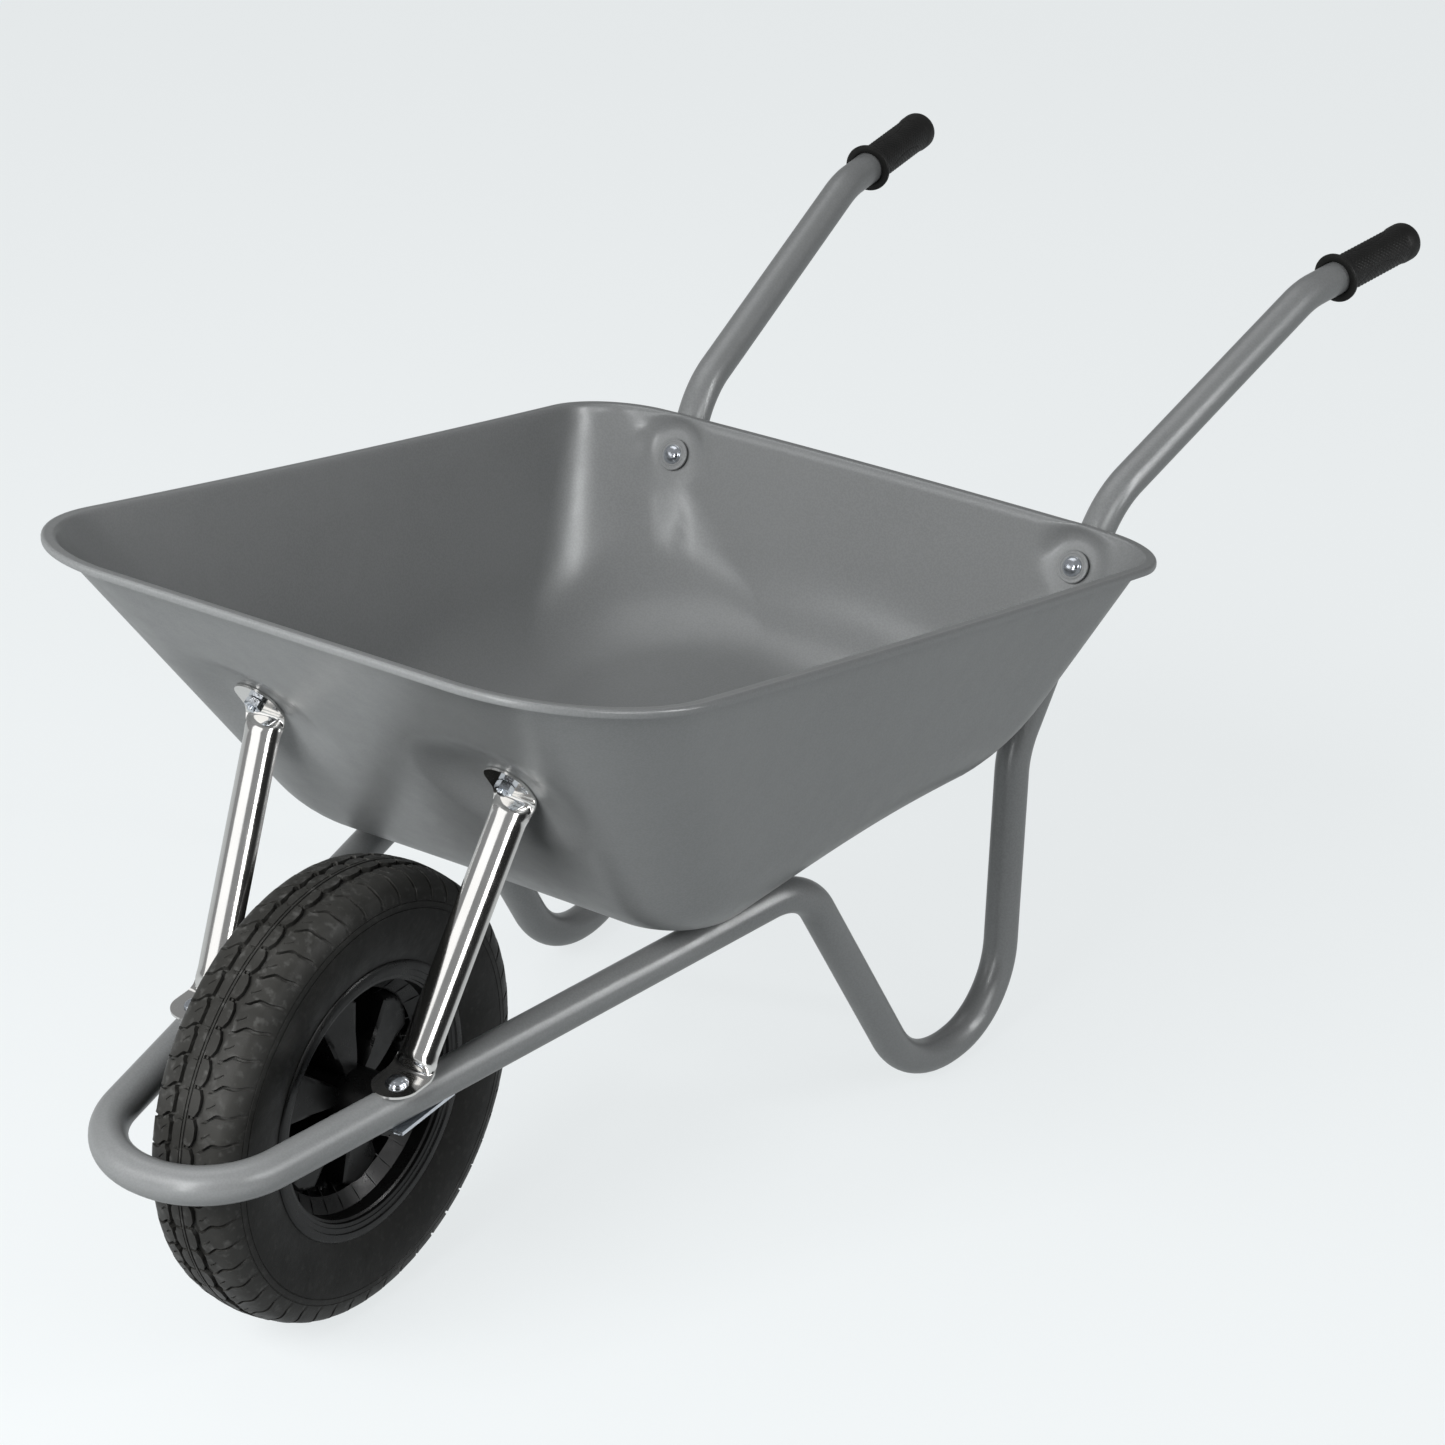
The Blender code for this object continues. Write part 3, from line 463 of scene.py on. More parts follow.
def rim_plastic():
    """Moulded black plastic: semi-gloss, with flow marks and a fine spark-eroded grain."""
    look = Look("rim_plastic", 0.36, specular=0.30)
    return mottled(
        look, (24.0, 3.0), (0.0026, 0.0026, 0.0026), (0.0052, 0.0052, 0.0052),
        (90.0, 4.0, 0.24, 0.38), (1700.0, 2.0, 0.00004), (70.0, 2.0, 0.0001),
    )


def tyre_rubber():
    """Dark rubber: shiny and black on its sides, greyer where the tread begins, partly from scuffs
    and dust and partly as painted sheen for the light the tread catches.
    """
    look = Look("tyre_rubber", 0.5, specular=0.17)
    bloom = look.spread(look.noise(18.0, 5.0), 0.0, 1.0, 0.42, 0.72)
    scuffs = look.spread(look.noise(150.0, 6.0), 0.0, 1.0, 0.55, 0.75)
    # The tread band is painted lighter: partly dust and scuffs, partly painted sheen that stands for
    # the light the tread catches.
    tread = look.spread(look.radius_round_wheel(), 0.0, 1.0, *TREAD_START)
    side = look.blend(bloom, (0.0040, 0.0039, 0.0034), (0.0074, 0.0072, 0.0064))
    worn_and_sheen = look.blend(bloom, (0.0180, 0.0178, 0.0165), (0.0300, 0.0297, 0.0280))
    scuffs_and_sheen = look.blend(tread, (0.013, 0.0128, 0.0116), (0.05, 0.05, 0.048))
    look.colour(look.blend(scuffs, look.blend(tread, side, worn_and_sheen), scuffs_and_sheen))
    look.roughness(55.0, 4.0, 0.33, 0.48)
    look.bumps((look.noise(1300.0, 3.0), 0.0001), (look.noise(140.0, 4.0), 0.00022))
    return look.material


def tube_rubber():
    """Smooth butyl rubber with a chalky film."""
    return mottled(
        Look("inner_tube_rubber", 0.55), (60.0, 4.0), (0.02, 0.02, 0.02), (0.05, 0.05, 0.048),
        (120.0, 3.0, 0.45, 0.65), (800.0, 2.0, 0.00006),
    )


def soft_plastic(name):
    """Soft black plastic, with the faint sheen that moulding leaves on its high points."""
    look = Look(name, 0.48, specular=0.30)
    return mottled(
        look, (45.0, 3.0), (0.0032, 0.0032, 0.0030), (0.0064, 0.0064, 0.0060),
        (200.0, 3.0, 0.40, 0.56), (1900.0, 2.0, 0.00004),
    )


PAINT = powder_coat()
CHROME = chrome_plate()
ZINC = bright_zinc()
AXLE_STEEL = plain_steel("axle_steel", 0.34)
BEARING_STEEL = plain_steel("bearing_steel", 0.26)
RIM_PLASTIC = rim_plastic()
TYRE_RUBBER = tyre_rubber()
TUBE_RUBBER = tube_rubber()
CAP_PLASTIC = soft_plastic("cap_plastic")
GRIP_PLASTIC = soft_plastic("grip_plastic")

# ---- frame tube ----

TUBE_SIDES = 40
TUBE_BEND_STEPS = 18


def frame_path():
    """The tube's middle line, from the right grip round the wheel to the left grip."""
    corners = [(0, FRAME_CORNERS[0][0][1], FRAME_CORNERS[0][0][2])]
    corners += [corner for corner, _ in FRAME_CORNERS] + [HANDLE_END]
    radii = [radius for _, radius in FRAME_CORNERS]
    runs = [(0.5, 1.0)] * (len(radii) + 1)
    half = rounded_path(corners, radii, TUBE_BEND_STEPS, runs)
    return [mirrored(-1, point) for point in reversed(half[1:])] + half


def circle(centre, across, other, radius, sides):
    """Points round a centre, from one direction towards another at right angles to it."""
    arms = [across * cos(angle) + other * sin(angle) for angle in full_turn(sides)]
    return [centre + arm * radius for arm in arms]


def tube_rows(path, radius, sides):
    """Rings round a path, turned as little as possible from one to the next."""
    rows = []
    across = None
    for index, point in enumerate(path):
        along = direction_at(path, index)
        if across is None:
            across = along.orthogonal().normalized()
        across = (across - along * across.dot(along)).normalized()
        other = along.cross(across)
        rows.append(circle(point, across, other, radius, sides))
    return rows


def frame_tube():
    path = [from_axle(point) for point in frame_path()]
    tube = woven("frame_tube_bent", tube_rows(path, TUBE_RADIUS, TUBE_SIDES), PAINT, caps=True)
    fitted(tube, "frame", "frame_tube")


# ---- pan ----

PAN_CORNER_STEPS = 22
PAN_COLUMNS = [even_shares(34), even_shares(30), even_shares(30)]
FLOOR_BEND_STEPS = 14
WALL_STEPS = 40
LIP_ARC_STEPS = 6


def half_outline(front, rear, radii):
    """The left half of a rounded trapezium, from the middle of its front to that of its rear."""
    corners = [(0, front[1], 0), (front[0], front[1], 0), (rear[0], rear[1], 0), (0, rear[1], 0)]
    return rounded_path(corners, radii, PAN_CORNER_STEPS, PAN_COLUMNS)


def inset(front, rear, radii, distance):
    return (
        (front[0] - distance, front[1] + distance, front[2]),
        (rear[0] - distance, rear[1] - distance, rear[2]),
        tuple(radius - distance for radius in radii),
    )


def on_lip(x, y, drop):
    """A point of the lip's outline, lifted to the lip's height and bowed at front and rear."""
    part = clamped((y - LIP_FRONT[1]) / (LIP_REAR[1] - LIP_FRONT[1]))
    straight = LIP_FRONT[2] + (LIP_REAR[2] - LIP_FRONT[2]) * part
    half_width = LIP_FRONT[0] + (LIP_REAR[0] - LIP_FRONT[0]) * part
    middle = 1 - min(1.0, abs(x) / half_width) ** 2
    front = middle * (1 - part) ** 2
    rear = middle * part**2
    out = LIP_FRONT_BOW[0] * front + LIP_REAR_BOW[0] * rear
    up = LIP_FRONT_BOW[1] * front + LIP_REAR_BOW[1] * rear
    return Vector((x, y + out, straight + up - 4 * LIP_SAG * part * (1 - part) - drop))


def floor_height(y):
    part = (y - FLOOR_FRONT[1]) / (FLOOR_REAR[1] - FLOOR_FRONT[1])
    return FLOOR_FRONT[2] + (FLOOR_REAR[2] - FLOOR_FRONT[2]) * part


def lip_ring(distance, drop):
    outline = half_outline(*inset(LIP_FRONT, LIP_REAR, LIP_CORNERS, distance))
    return [on_lip(p.x, p.y, drop) for p in outline]


def lip_section():
    """The lip from the top of the wall over its flat band and down its turned edge."""
    wall_top = (LIP_WIDTH, 0.0060)
    section = quadratic(wall_top, (LIP_WIDTH - 0.0022, 0.0), (0.0072, 0.0), LIP_ARC_STEPS)[1:]
    section += [(0.0046, 0.0002)]
    section += quadratic((0.0022, 0.0), (0.0, -0.0004), (0.0, 0.0020), LIP_ARC_STEPS)
    return section + [(0.0, 0.0034), (0.0004, 0.0046)]


def pan_rings():
    """Half rings of the pan's outer surface, from the floor's middle to the edge of the lip."""
    floor = [
        Vector((p.x, p.y, floor_height(p.y)))
        for p in half_outline(FLOOR_FRONT, FLOOR_REAR, FLOOR_CORNERS)
    ]
    wall_top = lip_ring(LIP_WIDTH, 0.006)
    middle_y = (FLOOR_FRONT[1] + FLOOR_REAR[1]) / 2
    centre = Vector((0, middle_y, floor_height(middle_y)))
    rings = [[] for _ in range(FLOOR_BEND_STEPS + 1 + WALL_STEPS)]
    for foot, top in zip(floor, wall_top):
        inner = foot + (centre - foot).normalized() * BEND_ON_FLOOR
        upper = foot + (top - foot).normalized() * BEND_UP_WALL
        column = quadratic(inner, foot, upper, FLOOR_BEND_STEPS)
        column += [upper.lerp(top, share) for share in even_shares(WALL_STEPS)]
        for ring, point in zip(rings, column):
            ring.append(point)
    rings += [lip_ring(distance, drop) for distance, drop in lip_section()]
    return rings


# A bolt's pad only takes in the wall within this height of it.
PAD_REACH = 0.05
# Each pad: the radius of its flat part, and the radius where it has faded into the wall.
REAR_PAD_RADII = (0.017, 0.041)
FRONT_PAD_RADII = (0.022, 0.085)
# The groove over a handle tube starts this far in front of the leg's top.
GROOVE_LEAD = 0.02
GROOVE_CLEARANCE = 0.0015
GROOVE_ROUND = 0.034
GROOVE_SOFTNESS = 0.0035
GROOVE_TOP = 0.436
GROOVE_FADE = 0.020


def press_flat(point, pad, outward, push, flat_radius, blend_radius):
    """Pushes a point of the wall onto a bolt's flat pad, fading out round the pad."""
    offset = point - pad
    height = offset.dot(outward)
    reach = (offset - outward * height).length
    if reach >= blend_radius or abs(height) > PAD_REACH:
        return point
    weight = smoothstep((blend_radius - reach) / (blend_radius - flat_radius))
    return point - push * (weight * height / push.dot(outward))


def clear_handle(point):
    """Presses a rounded groove where the wall would otherwise reach into the handle tube."""
    if point.y < LEG_TOP.y - GROOVE_LEAD:
        return point
    beside = point.x - on_line(LEG_TOP, LIP_BEND, 2, point.z).x
    groove = GROOVE_CLEARANCE - beside**2 / (2 * GROOVE_ROUND)
    depth = (point - REAR_PAD).dot(REAR_AXIS) + groove
    if depth <= -GROOVE_SOFTNESS:
        return point
    if depth < GROOVE_SOFTNESS:
        depth = (depth + GROOVE_SOFTNESS) ** 2 / (4 * GROOVE_SOFTNESS)
    weight = smoothstep((GROOVE_TOP + GROOVE_FADE - point.z) / GROOVE_FADE)
    return point - BACK * (weight * depth / BACK.dot(REAR_AXIS))


def shaped(point):
    """The wall is pressed to fit against each handle tube and each strut."""
    point = clear_handle(point)
    point = press_flat(point, REAR_PAD, REAR_AXIS, BACK, *REAR_PAD_RADII)
    return press_flat(point, FRONT_PAD, WALL_OUT, WALL_OUT, *FRONT_PAD_RADII)


def with_thickness(obj, thickness, offset=-1.0):
    """Thickens an open sheet into a closed one, and keeps the result as the object's mesh."""
    sheet = obj.modifiers.new("sheet", "SOLIDIFY")
    sheet.thickness = thickness
    sheet.offset = offset
    sheet.use_even_offset = True
    bpy.context.view_layer.update()
    graph = bpy.context.evaluated_depsgraph_get()
    mesh = bpy.data.meshes.new_from_object(obj.evaluated_get(graph))
    obj.modifiers.clear()
    obj.data = mesh
    crisp(mesh, SHARP_DEGREES)
    return obj


def pan():
    bm = bmesh.new()
    rows = []
    for half in pan_rings():
        half = [shaped(point) for point in half]
        ring = half + [mirrored(-1, point) for point in reversed(half[1:-1])]
        rows.append([from_axle(point) for point in ring])
    loops = add_grid(bm, rows)
    bm.faces.new(loops[0][::-1])
    sheet = finished("pan_pressed", bm, PAINT)
    faces_down = sheet.data.polygons[-1].normal.z < 0
    sheet = with_thickness(sheet, SHEET if faces_down else -SHEET)
    fitted(sheet, "frame", "pan")


# ---- fastenings ----

THREAD_PITCH = 0.00125
THREAD_DEPTH = 0.0005
NUT_SIDES = 72
# The dome's width as a share of the head's, and its skirt's height as a share of the head's.
DOME_WIDTH = 0.94
SKIRT_HEIGHT = 0.16
# Each bolt: its length, its head's radius and height, and the length of its thread.
REAR_BOLT = (0.047, 0.0088, 0.005, 0.014)
STRUT_TOP_BOLT = (0.0135, 0.0088, 0.0045, 0.009)
STRUT_BOTTOM_BOLT = (0.0455, 0.0090, 0.0048, 0.012)


def thread(length, radius):
    """(radius, height) pairs of a threaded end that reaches down from zero height."""
    pairs = []
    for turn in range(int(length / THREAD_PITCH)):
        top = -turn * THREAD_PITCH
        pairs.append((radius, top))
        pairs.append((radius - THREAD_DEPTH, top - THREAD_PITCH / 2))
    return pairs


def domed_bolt(name, node, side_name, place, axis, sizes):
    """A domed head with a thin skirt, and a shank whose end is threaded."""
    length, head_radius, head_height, threaded = sizes
    profile = [(0.0, head_height)]
    for degrees in range(80, 5, -6):
        turn = radians(degrees)
        height = SKIRT_HEIGHT + (1 - SKIRT_HEIGHT) * sin(turn)
        profile.append((head_radius * DOME_WIDTH * cos(turn), head_height * height))
    profile += arc((head_radius - 0.0004, 0.0006), 0.0004, 80, 0, 3)
    profile += [(head_radius, 0.0), (BOLT_RADIUS, 0.0)]
    profile += [(r, h - (length - threaded)) for r, h in thread(threaded, BOLT_RADIUS)]
    profile += [(BOLT_RADIUS - 0.0008, -length), (0.0, -length)]
    bolt = turned(f"{name}_{side_name}", profile, from_axle(place), axis, ZINC, 48)
    fitted(bolt, "frame", f"{node}_{side_name}")


def hex_radius(angle, across_flats):
    """How far a hexagon reaches at an angle."""
    sector = pi / 3
    return across_flats / 2 / cos((angle + sector / 2) % sector - sector / 2)


def hex_nut(name, node, side_name, place, axis, bore=BOLT_RADIUS + GAP):
    """A nut chamfered at both ends, with a countersunk bore."""
    origin = from_axle(place)
    turn = facing(axis)
    face_radius = NUT_FLATS / 2 * 0.95
    rows = [[] for _ in range(8)]
    for angle in full_turn(NUT_SIDES):
        reach = hex_radius(angle, NUT_FLATS)
        slope = (reach - face_radius) * tan(radians(30))
        section = [
            (bore, 0.0008), (bore + 0.0008, 0.0), (face_radius, 0.0), (reach, slope),
            (reach, NUT_HEIGHT - slope), (face_radius, NUT_HEIGHT),
            (bore + 0.0008, NUT_HEIGHT), (bore, NUT_HEIGHT - 0.0008),
        ]
        for row, (radius, height) in zip(rows, section):
            row.append(round_axis(origin, turn, radius, angle, height))
    nut = woven(f"{name}_{side_name}", rows, ZINC, 20, wrap_rows=True)
    fitted(nut, "frame", f"{node}_{side_name}")


def cup_washer(side_name, place, axis):
    """A painted washer with a rounded rim and a raised ring round the bolt's head."""
    top = WASHER_THICKNESS
    profile = [(BOLT_RADIUS + GAP, top), (BOLT_RADIUS + GAP, 0.0), (WASHER_RADIUS, 0.0)]
    profile += arc((WASHER_RADIUS - 0.0009, top - 0.0009), 0.0009, 0, 90, 4)
    profile += [(0.0118, top), (0.0113, top - 0.0004), (0.0106, top - 0.0004), (0.0101, top)]
    name = f"rear_cup_washer_{side_name}"
    washer = turned(name, profile, from_axle(place), axis, PAINT, 72, closed=True, sharp=30)
    fitted(washer, "frame", f"rear_washer_{side_name}")


def rear_fastenings(side_name, side):
    """A washer and a domed bolt inside the pan, and a nut behind the handle tube."""
    inside = mirrored(side, REAR_PAD) - REAR_AXIS * (SHEET + SEAT_GAP)
    head = inside - REAR_AXIS * (WASHER_THICKNESS + GAP)
    behind = mirrored(side, HANDLE_BOLT) + REAR_AXIS * (TUBE_RADIUS + GAP)
    cup_washer(side_name, inside, -REAR_AXIS)
    domed_bolt("rear_dome_bolt", "rear_bolt", side_name, head, -REAR_AXIS, REAR_BOLT)
    hex_nut("rear_hex_nut", "rear_nut", side_name, behind, REAR_AXIS)


def strut_fastenings(side_name, side):
    """A bolt and a nut through the pan's wall, and a bolt and a nut through the rail."""
    wall = mirrored(side, FRONT_PAD)
    rail = mirrored(side, RAIL_BOLT)
    inside = wall - WALL_OUT * (SHEET + GAP)
    outside = wall + WALL_OUT * (3 * GAP + STRIP)
    above = rail + RAIL_UP * (TUBE_RADIUS + 2 * GAP + STRIP)
    below = rail - RAIL_UP * (TUBE_RADIUS + 2 * GAP + BRACKET_PLATE)
    domed_bolt(
        "front_dome_bolt", "strut_top_bolt", side_name, inside, -WALL_OUT, STRUT_TOP_BOLT
    )
    hex_nut("front_hex_nut", "strut_top_nut", side_name, outside, WALL_OUT)
    domed_bolt(
        "rail_dome_bolt", "strut_bottom_bolt", side_name, above, RAIL_UP, STRUT_BOTTOM_BOLT
    )
    hex_nut("rail_hex_nut", "strut_bottom_nut", side_name, below, -RAIL_UP)


# ---- struts ----

STRUT_COLUMNS = 40
STRUT_ROWS = 64
FOLD_STEPS = 7
FOLD_RADIUS = 0.010
BODY_HALF_WIDTH = 0.0165
# From each fold towards the middle: where the strip narrows, and where the channel deepens.
NARROWING = (-0.004, 0.020)
DEEPENING = (-0.002, 0.014)
# The channel starts as a nose that has this share of its width, and widens over this length.
NOSE_WIDTH = 0.72
NOSE_LENGTH = 0.018
# The section is this share of a half ellipse, and this is the ellipse's height at its edges.
SECTION_SHARE = 0.94
EDGE_HEIGHT = 0.34


def strut_corners():
    """Corners of a left strut's middle line: tab end, fold, fold, tab end."""
    lift = TUBE_RADIUS + GAP + STRIP / 2
    rail_hole = RAIL_BOLT + RAIL_UP * lift
    wall_hole = FRONT_PAD + WALL_OUT * (2 * GAP + STRIP / 2)
    return [
        rail_hole - RAIL_ALONG * TAB_RADIUS,
        rail_hole + RAIL_ALONG * TAB_FOLD,
        wall_hole - WALL_UP * TAB_FOLD,
        wall_hole + WALL_UP * TAB_RADIUS,
    ]


def strut_line():
    """Points along a left strut, close together at its round ends and at its folds."""
    round_end = [0.52 * (1 - cos(radians(turn))) for turn in range(6, 91, 6)]
    tab_shares = round_end + [0.7, 0.85, 1.0]
    far_shares = [1 - share for share in reversed(tab_shares[:-1])] + [1.0]
    runs = [tab_shares, even_shares(STRUT_ROWS), far_shares]
    return rounded_path(strut_corners(), [FOLD_RADIUS, FOLD_RADIUS], FOLD_STEPS, runs)


def strut_section(from_end, into_body):
    """(place across, height) pairs of a strut, by how far it is from its end and its fold."""
    half_width = TAB_RADIUS
    if from_end < TAB_RADIUS:
        half_width = sqrt(max(TAB_RADIUS**2 - (TAB_RADIUS - from_end) ** 2, 1e-9))
    half_width -= (TAB_RADIUS - BODY_HALF_WIDTH) * rise(into_body, *NARROWING)
    depth = CHANNEL_DEPTH * rise(into_body, *DEEPENING)
    widening = rise(into_body, DEEPENING[0], DEEPENING[0] + NOSE_LENGTH)
    nose = NOSE_WIDTH + (1 - NOSE_WIDTH) * widening
    pairs = []
    for column in range(STRUT_COLUMNS + 1):
        share = 2 * column / STRUT_COLUMNS - 1
        height = sqrt(max(0.0, 1 - (SECTION_SHARE * share / nose) ** 2))
        pairs.append((half_width * share, depth * (height - EDGE_HEIGHT * nose**6)))
    return pairs


def strut(side_name, side):
    """A strip pressed into a channel, with a flat round-ended tab at each end."""
    line = strut_line()
    lengths = [0.0]
    for first, second in zip(line, line[1:]):
        lengths.append(lengths[-1] + (second - first).length)
    total = lengths[-1]
    corners = strut_corners()
    low_fold = (corners[1] - corners[0]).length
    high_fold = total - (corners[3] - corners[2]).length
    rows = []
    for index, (centre, distance) in enumerate(zip(line, lengths)):
        direction = direction_at(line, index)
        across = Vector((1, 0, 0))
        across = (across - direction * across.dot(direction)).normalized()
        outward = across.cross(direction)
        from_end = min(distance, total - distance)
        into_body = min(distance - low_fold, high_fold - distance)
        row = []
        for out, height in strut_section(from_end, into_body):
            point = centre + across * out + outward * height
            row.append(from_axle(mirrored(side, point)))
        rows.append(row)
    sheet = woven(f"strut_pressed_{side_name}", rows, CHROME, wrap_columns=False)
    fitted(with_thickness(sheet, STRIP, 0.0), "frame", f"strut_{side_name}")


# ---- axle ----


def axle():
    """A rod with a threaded end past each shoulder, and a spacer and a nut on both sides."""
    end = [(0.0, AXLE_HALF_LENGTH), (AXLE_END_RADIUS - 0.0006, AXLE_HALF_LENGTH)]
    end += [(r, AXLE_HALF_LENGTH - 0.0006 + h) for r, h in thread(0.0095, AXLE_END_RADIUS)]
    end += [
        (AXLE_END_RADIUS, AXLE_SHOULDER + 0.0010), (AXLE_END_RADIUS, AXLE_SHOULDER),
        (AXLE_RADIUS - 0.0005, AXLE_SHOULDER), (AXLE_RADIUS, AXLE_SHOULDER - 0.0005),
    ]
    rod = turned("axle_rod", both_ways(end), WHEEL_CENTRE, WHEEL_AXIS, AXLE_STEEL)
    fitted(rod, "frame", "axle")
    bore = AXLE_RADIUS + GAP
    ring = [
        (bore, 0.0), (0.0097, 0.0), (0.0100, 0.0003), (0.0100, SPACER_LENGTH - 0.0003),
        (0.0097, SPACER_LENGTH), (bore, SPACER_LENGTH),
    ]
    for side_name, side in SIDES:
        axis = WHEEL_AXIS * side
        start = WHEEL_CENTRE + axis * (HUB_HALF_LENGTH + GAP)
        spacer = turned(f"axle_ring_{side_name}", ring, start, axis, ZINC, closed=True)
        fitted(spacer, "frame", f"axle_spacer_{side_name}")
        outside = Vector((0, 0, AXLE_HEIGHT)) + axis * (BRACKET_X + BRACKET_PLATE / 2 + GAP)
        hex_nut("axle_hex_nut", "axle_nut", side_name, outside, axis, AXLE_END_RADIUS + GAP)


def coated_node(node, look):
    """A CAD node keeps its shape and gets a material."""
    obj = frame["nodes"][node]
    obj.data.materials.clear()
    obj.data.materials.append(look)
    return obj


def rounded_bracket(node):
    """The CAD bracket gets softened edges and a plated finish."""
    bevel = coated_node(node, ZINC).modifiers.new("soft_edges", "BEVEL")
    bevel.width = 0.0005
    bevel.segments = 2
    bevel.limit_method = "ANGLE"
    bevel.angle_limit = radians(40)


# ---- tyre ----

TYRE_PITCHES = 50
TREAD_DEPTH = 0.0040
# Along each pitch: where the cross groove is deep, where the block starts, where its sipe is.
GROOVE_ROWS = (0.015, 0.115)
GROOVE_END = 0.13
SIPE_ROWS = (0.49, 0.53)
# Where each pitch has a row of points: at the edges of its groove, block and sipe.
PITCH_ROWS = (0.0, 0.02, 0.11, 0.13, 0.24, 0.36, 0.47, 0.495, 0.525, 0.55, 0.66, 0.78, 0.89)
SEAM_HALF_WIDTH = 0.0007
BLOCK_INNER_EDGE = 0.0022
BLOCK_OUTER_EDGE = 0.0074
# A centre block is wider in its middle, over this share of its length at each end.
BLOCK_BULGE = 0.0026
BULGE_SHARE = 0.28
# A shoulder block starts further out over this first share of its length.
SHOULDER_NOTCH = 0.0018
NOTCH_SHARE = 0.2
BLOCK_TILT = 0.0007
SIPE_DEPTH = 0.0012
SIPE_REACH = (0.0165, 0.0225)
# The cross grooves drift round by these shares of a pitch, between these distances from the seam.
GROOVE_DRIFTS = ((0.30, 0.0165, 0.0265), (0.16, 0.032, 0.046))
SHOULDER_EDGE = 0.0142
SHOULDER_END = 0.0500
SIDE_LINES = (0.0512, 0.0566)
SIDE_LINE_SECTION = ((-0.0006, 0.0), (-0.0002, 0.0005), (0.0002, 0.0005), (0.0006, 0.0))
# The carcass from the middle of the crown to the bead: (radius, distance from the middle).
CARCASS = [
    (0.1855, 0.0), (0.1853, 0.0080), (0.1832, 0.0215), (0.1785, 0.0325), (0.1690, 0.0382),
    (0.1560, 0.0410), (0.1400, 0.0410), (0.1260, 0.0390), (0.1143, 0.0352), (0.1060, 0.0322),
    (0.1030, 0.0292), (0.1025, 0.0182),
]
TYRE_INSIDE = [
    (0.1045, 0.0165), (0.1150, 0.0275), (0.1260, 0.0325), (0.1400, 0.0350), (0.1560, 0.0350),
    (0.1670, 0.0320), (0.1765, 0.0190), (0.1785, 0.0060),
]


def on_wheel(out, radius, angle):
    """A point of the wheel: how far out from its middle plane, and where round its axle."""
    return WHEEL_CENTRE + Vector((out, radius * sin(angle), radius * cos(angle)))


def smooth_curve(points, steps_per_span):
    """A dense Catmull-Rom curve through (radius, side) points."""
    points = np.array(points)
    first = 2 * points[0] - points[1]
    last = 2 * points[-1] - points[-2]
    padded = np.vstack([first, points, last])
    dense = []
    for p0, p1, p2, p3 in zip(padded, padded[1:], padded[2:], padded[3:]):
        for step in range(steps_per_span):
            t = step / steps_per_span
            dense.append(0.5 * (
                2 * p1 + (p2 - p0) * t + (2 * p0 - 5 * p1 + 4 * p2 - p3) * t**2
                + (3 * p1 - p0 - 3 * p2 + p3) * t**3
            ))
    dense.append(points[-1])
    return np.array(dense)


def tread_phase(reach):
    """How far, in pitches, the cross grooves have drifted round at this distance from the seam."""
    return sum(share * rise(reach, start, end) for share, start, end in GROOVE_DRIFTS)


def within_block(row):
    """Where a row lies between the start of a block, at 0, and its end, at 1."""
    return (row - GROOVE_END) / (1 - GROOVE_END)


def in_groove(row):
    return GROOVE_ROWS[0] < row < GROOVE_ROWS[1]


def centre_columns(row):
    """(distance from the seam, depth) over the seam, the centre block and the groove by it."""
    gap = TREAD_DEPTH if in_groove(row) else 0.0
    bridge = 0.4 * gap
    from_ends = min(within_block(row), 1 - within_block(row))
    edge = BLOCK_OUTER_EDGE + BLOCK_BULGE * clamped(from_ends / BULGE_SHARE)
    return [
        (SEAM_HALF_WIDTH, -0.0003), (SEAM_HALF_WIDTH + 0.0002, 0.0008),
        (BLOCK_INNER_EDGE - 0.0004, 0.0010), (BLOCK_INNER_EDGE, gap), (0.0030, gap),
        (0.0033, bridge), (0.0052, bridge), (0.0055, gap), (0.0064, gap), (edge, gap),
        (edge + 0.0004, TREAD_DEPTH), (SHOULDER_EDGE - 0.0020, TREAD_DEPTH),
    ]


def shoulder_depth(row, reach):
    """Depth below the carcass on a shoulder block, in the cross groove beside it or its sipe."""
    outward = (reach - SHOULDER_EDGE) / (SHOULDER_END - SHOULDER_EDGE)
    if in_groove(row):
        return TREAD_DEPTH * (1 - rise(outward, 0.35, 1.0)) + 0.0002
    if SIPE_ROWS[0] < row < SIPE_ROWS[1] and SIPE_REACH[0] < reach < SIPE_REACH[1]:
        return SIPE_DEPTH
    return BLOCK_TILT * max(0.0, within_block(row)) * (1 - outward)


def shoulder_columns(row):
    """(distance from the seam, depth) over the shoulder block and out to the side's fine lines."""
    notched = 0.0 <= within_block(row) < NOTCH_SHARE
    edge = SHOULDER_EDGE + (SHOULDER_NOTCH if notched else 0.0)
    columns = [(edge - 0.0005, TREAD_DEPTH), (edge, shoulder_depth(row, edge))]
    for reach in (0.0162, 0.0168, 0.0182, 0.0198, 0.0212, 0.0223, 0.0228):
        columns.append((reach, shoulder_depth(row, reach)))
    for share in even_shares(13):
        reach = 0.0228 + (SHOULDER_END - 0.0228) * share
        columns.append((reach, shoulder_depth(row, reach)))
    for line in SIDE_LINES:
        columns += [(line + offset, depth) for offset, depth in SIDE_LINE_SECTION]
    return columns


def sidewall_columns(total):
    start = SIDE_LINES[-1] + SIDE_LINE_SECTION[-1][0]
    return [(start + (total - start) * share, 0.0) for share in even_shares(20)]


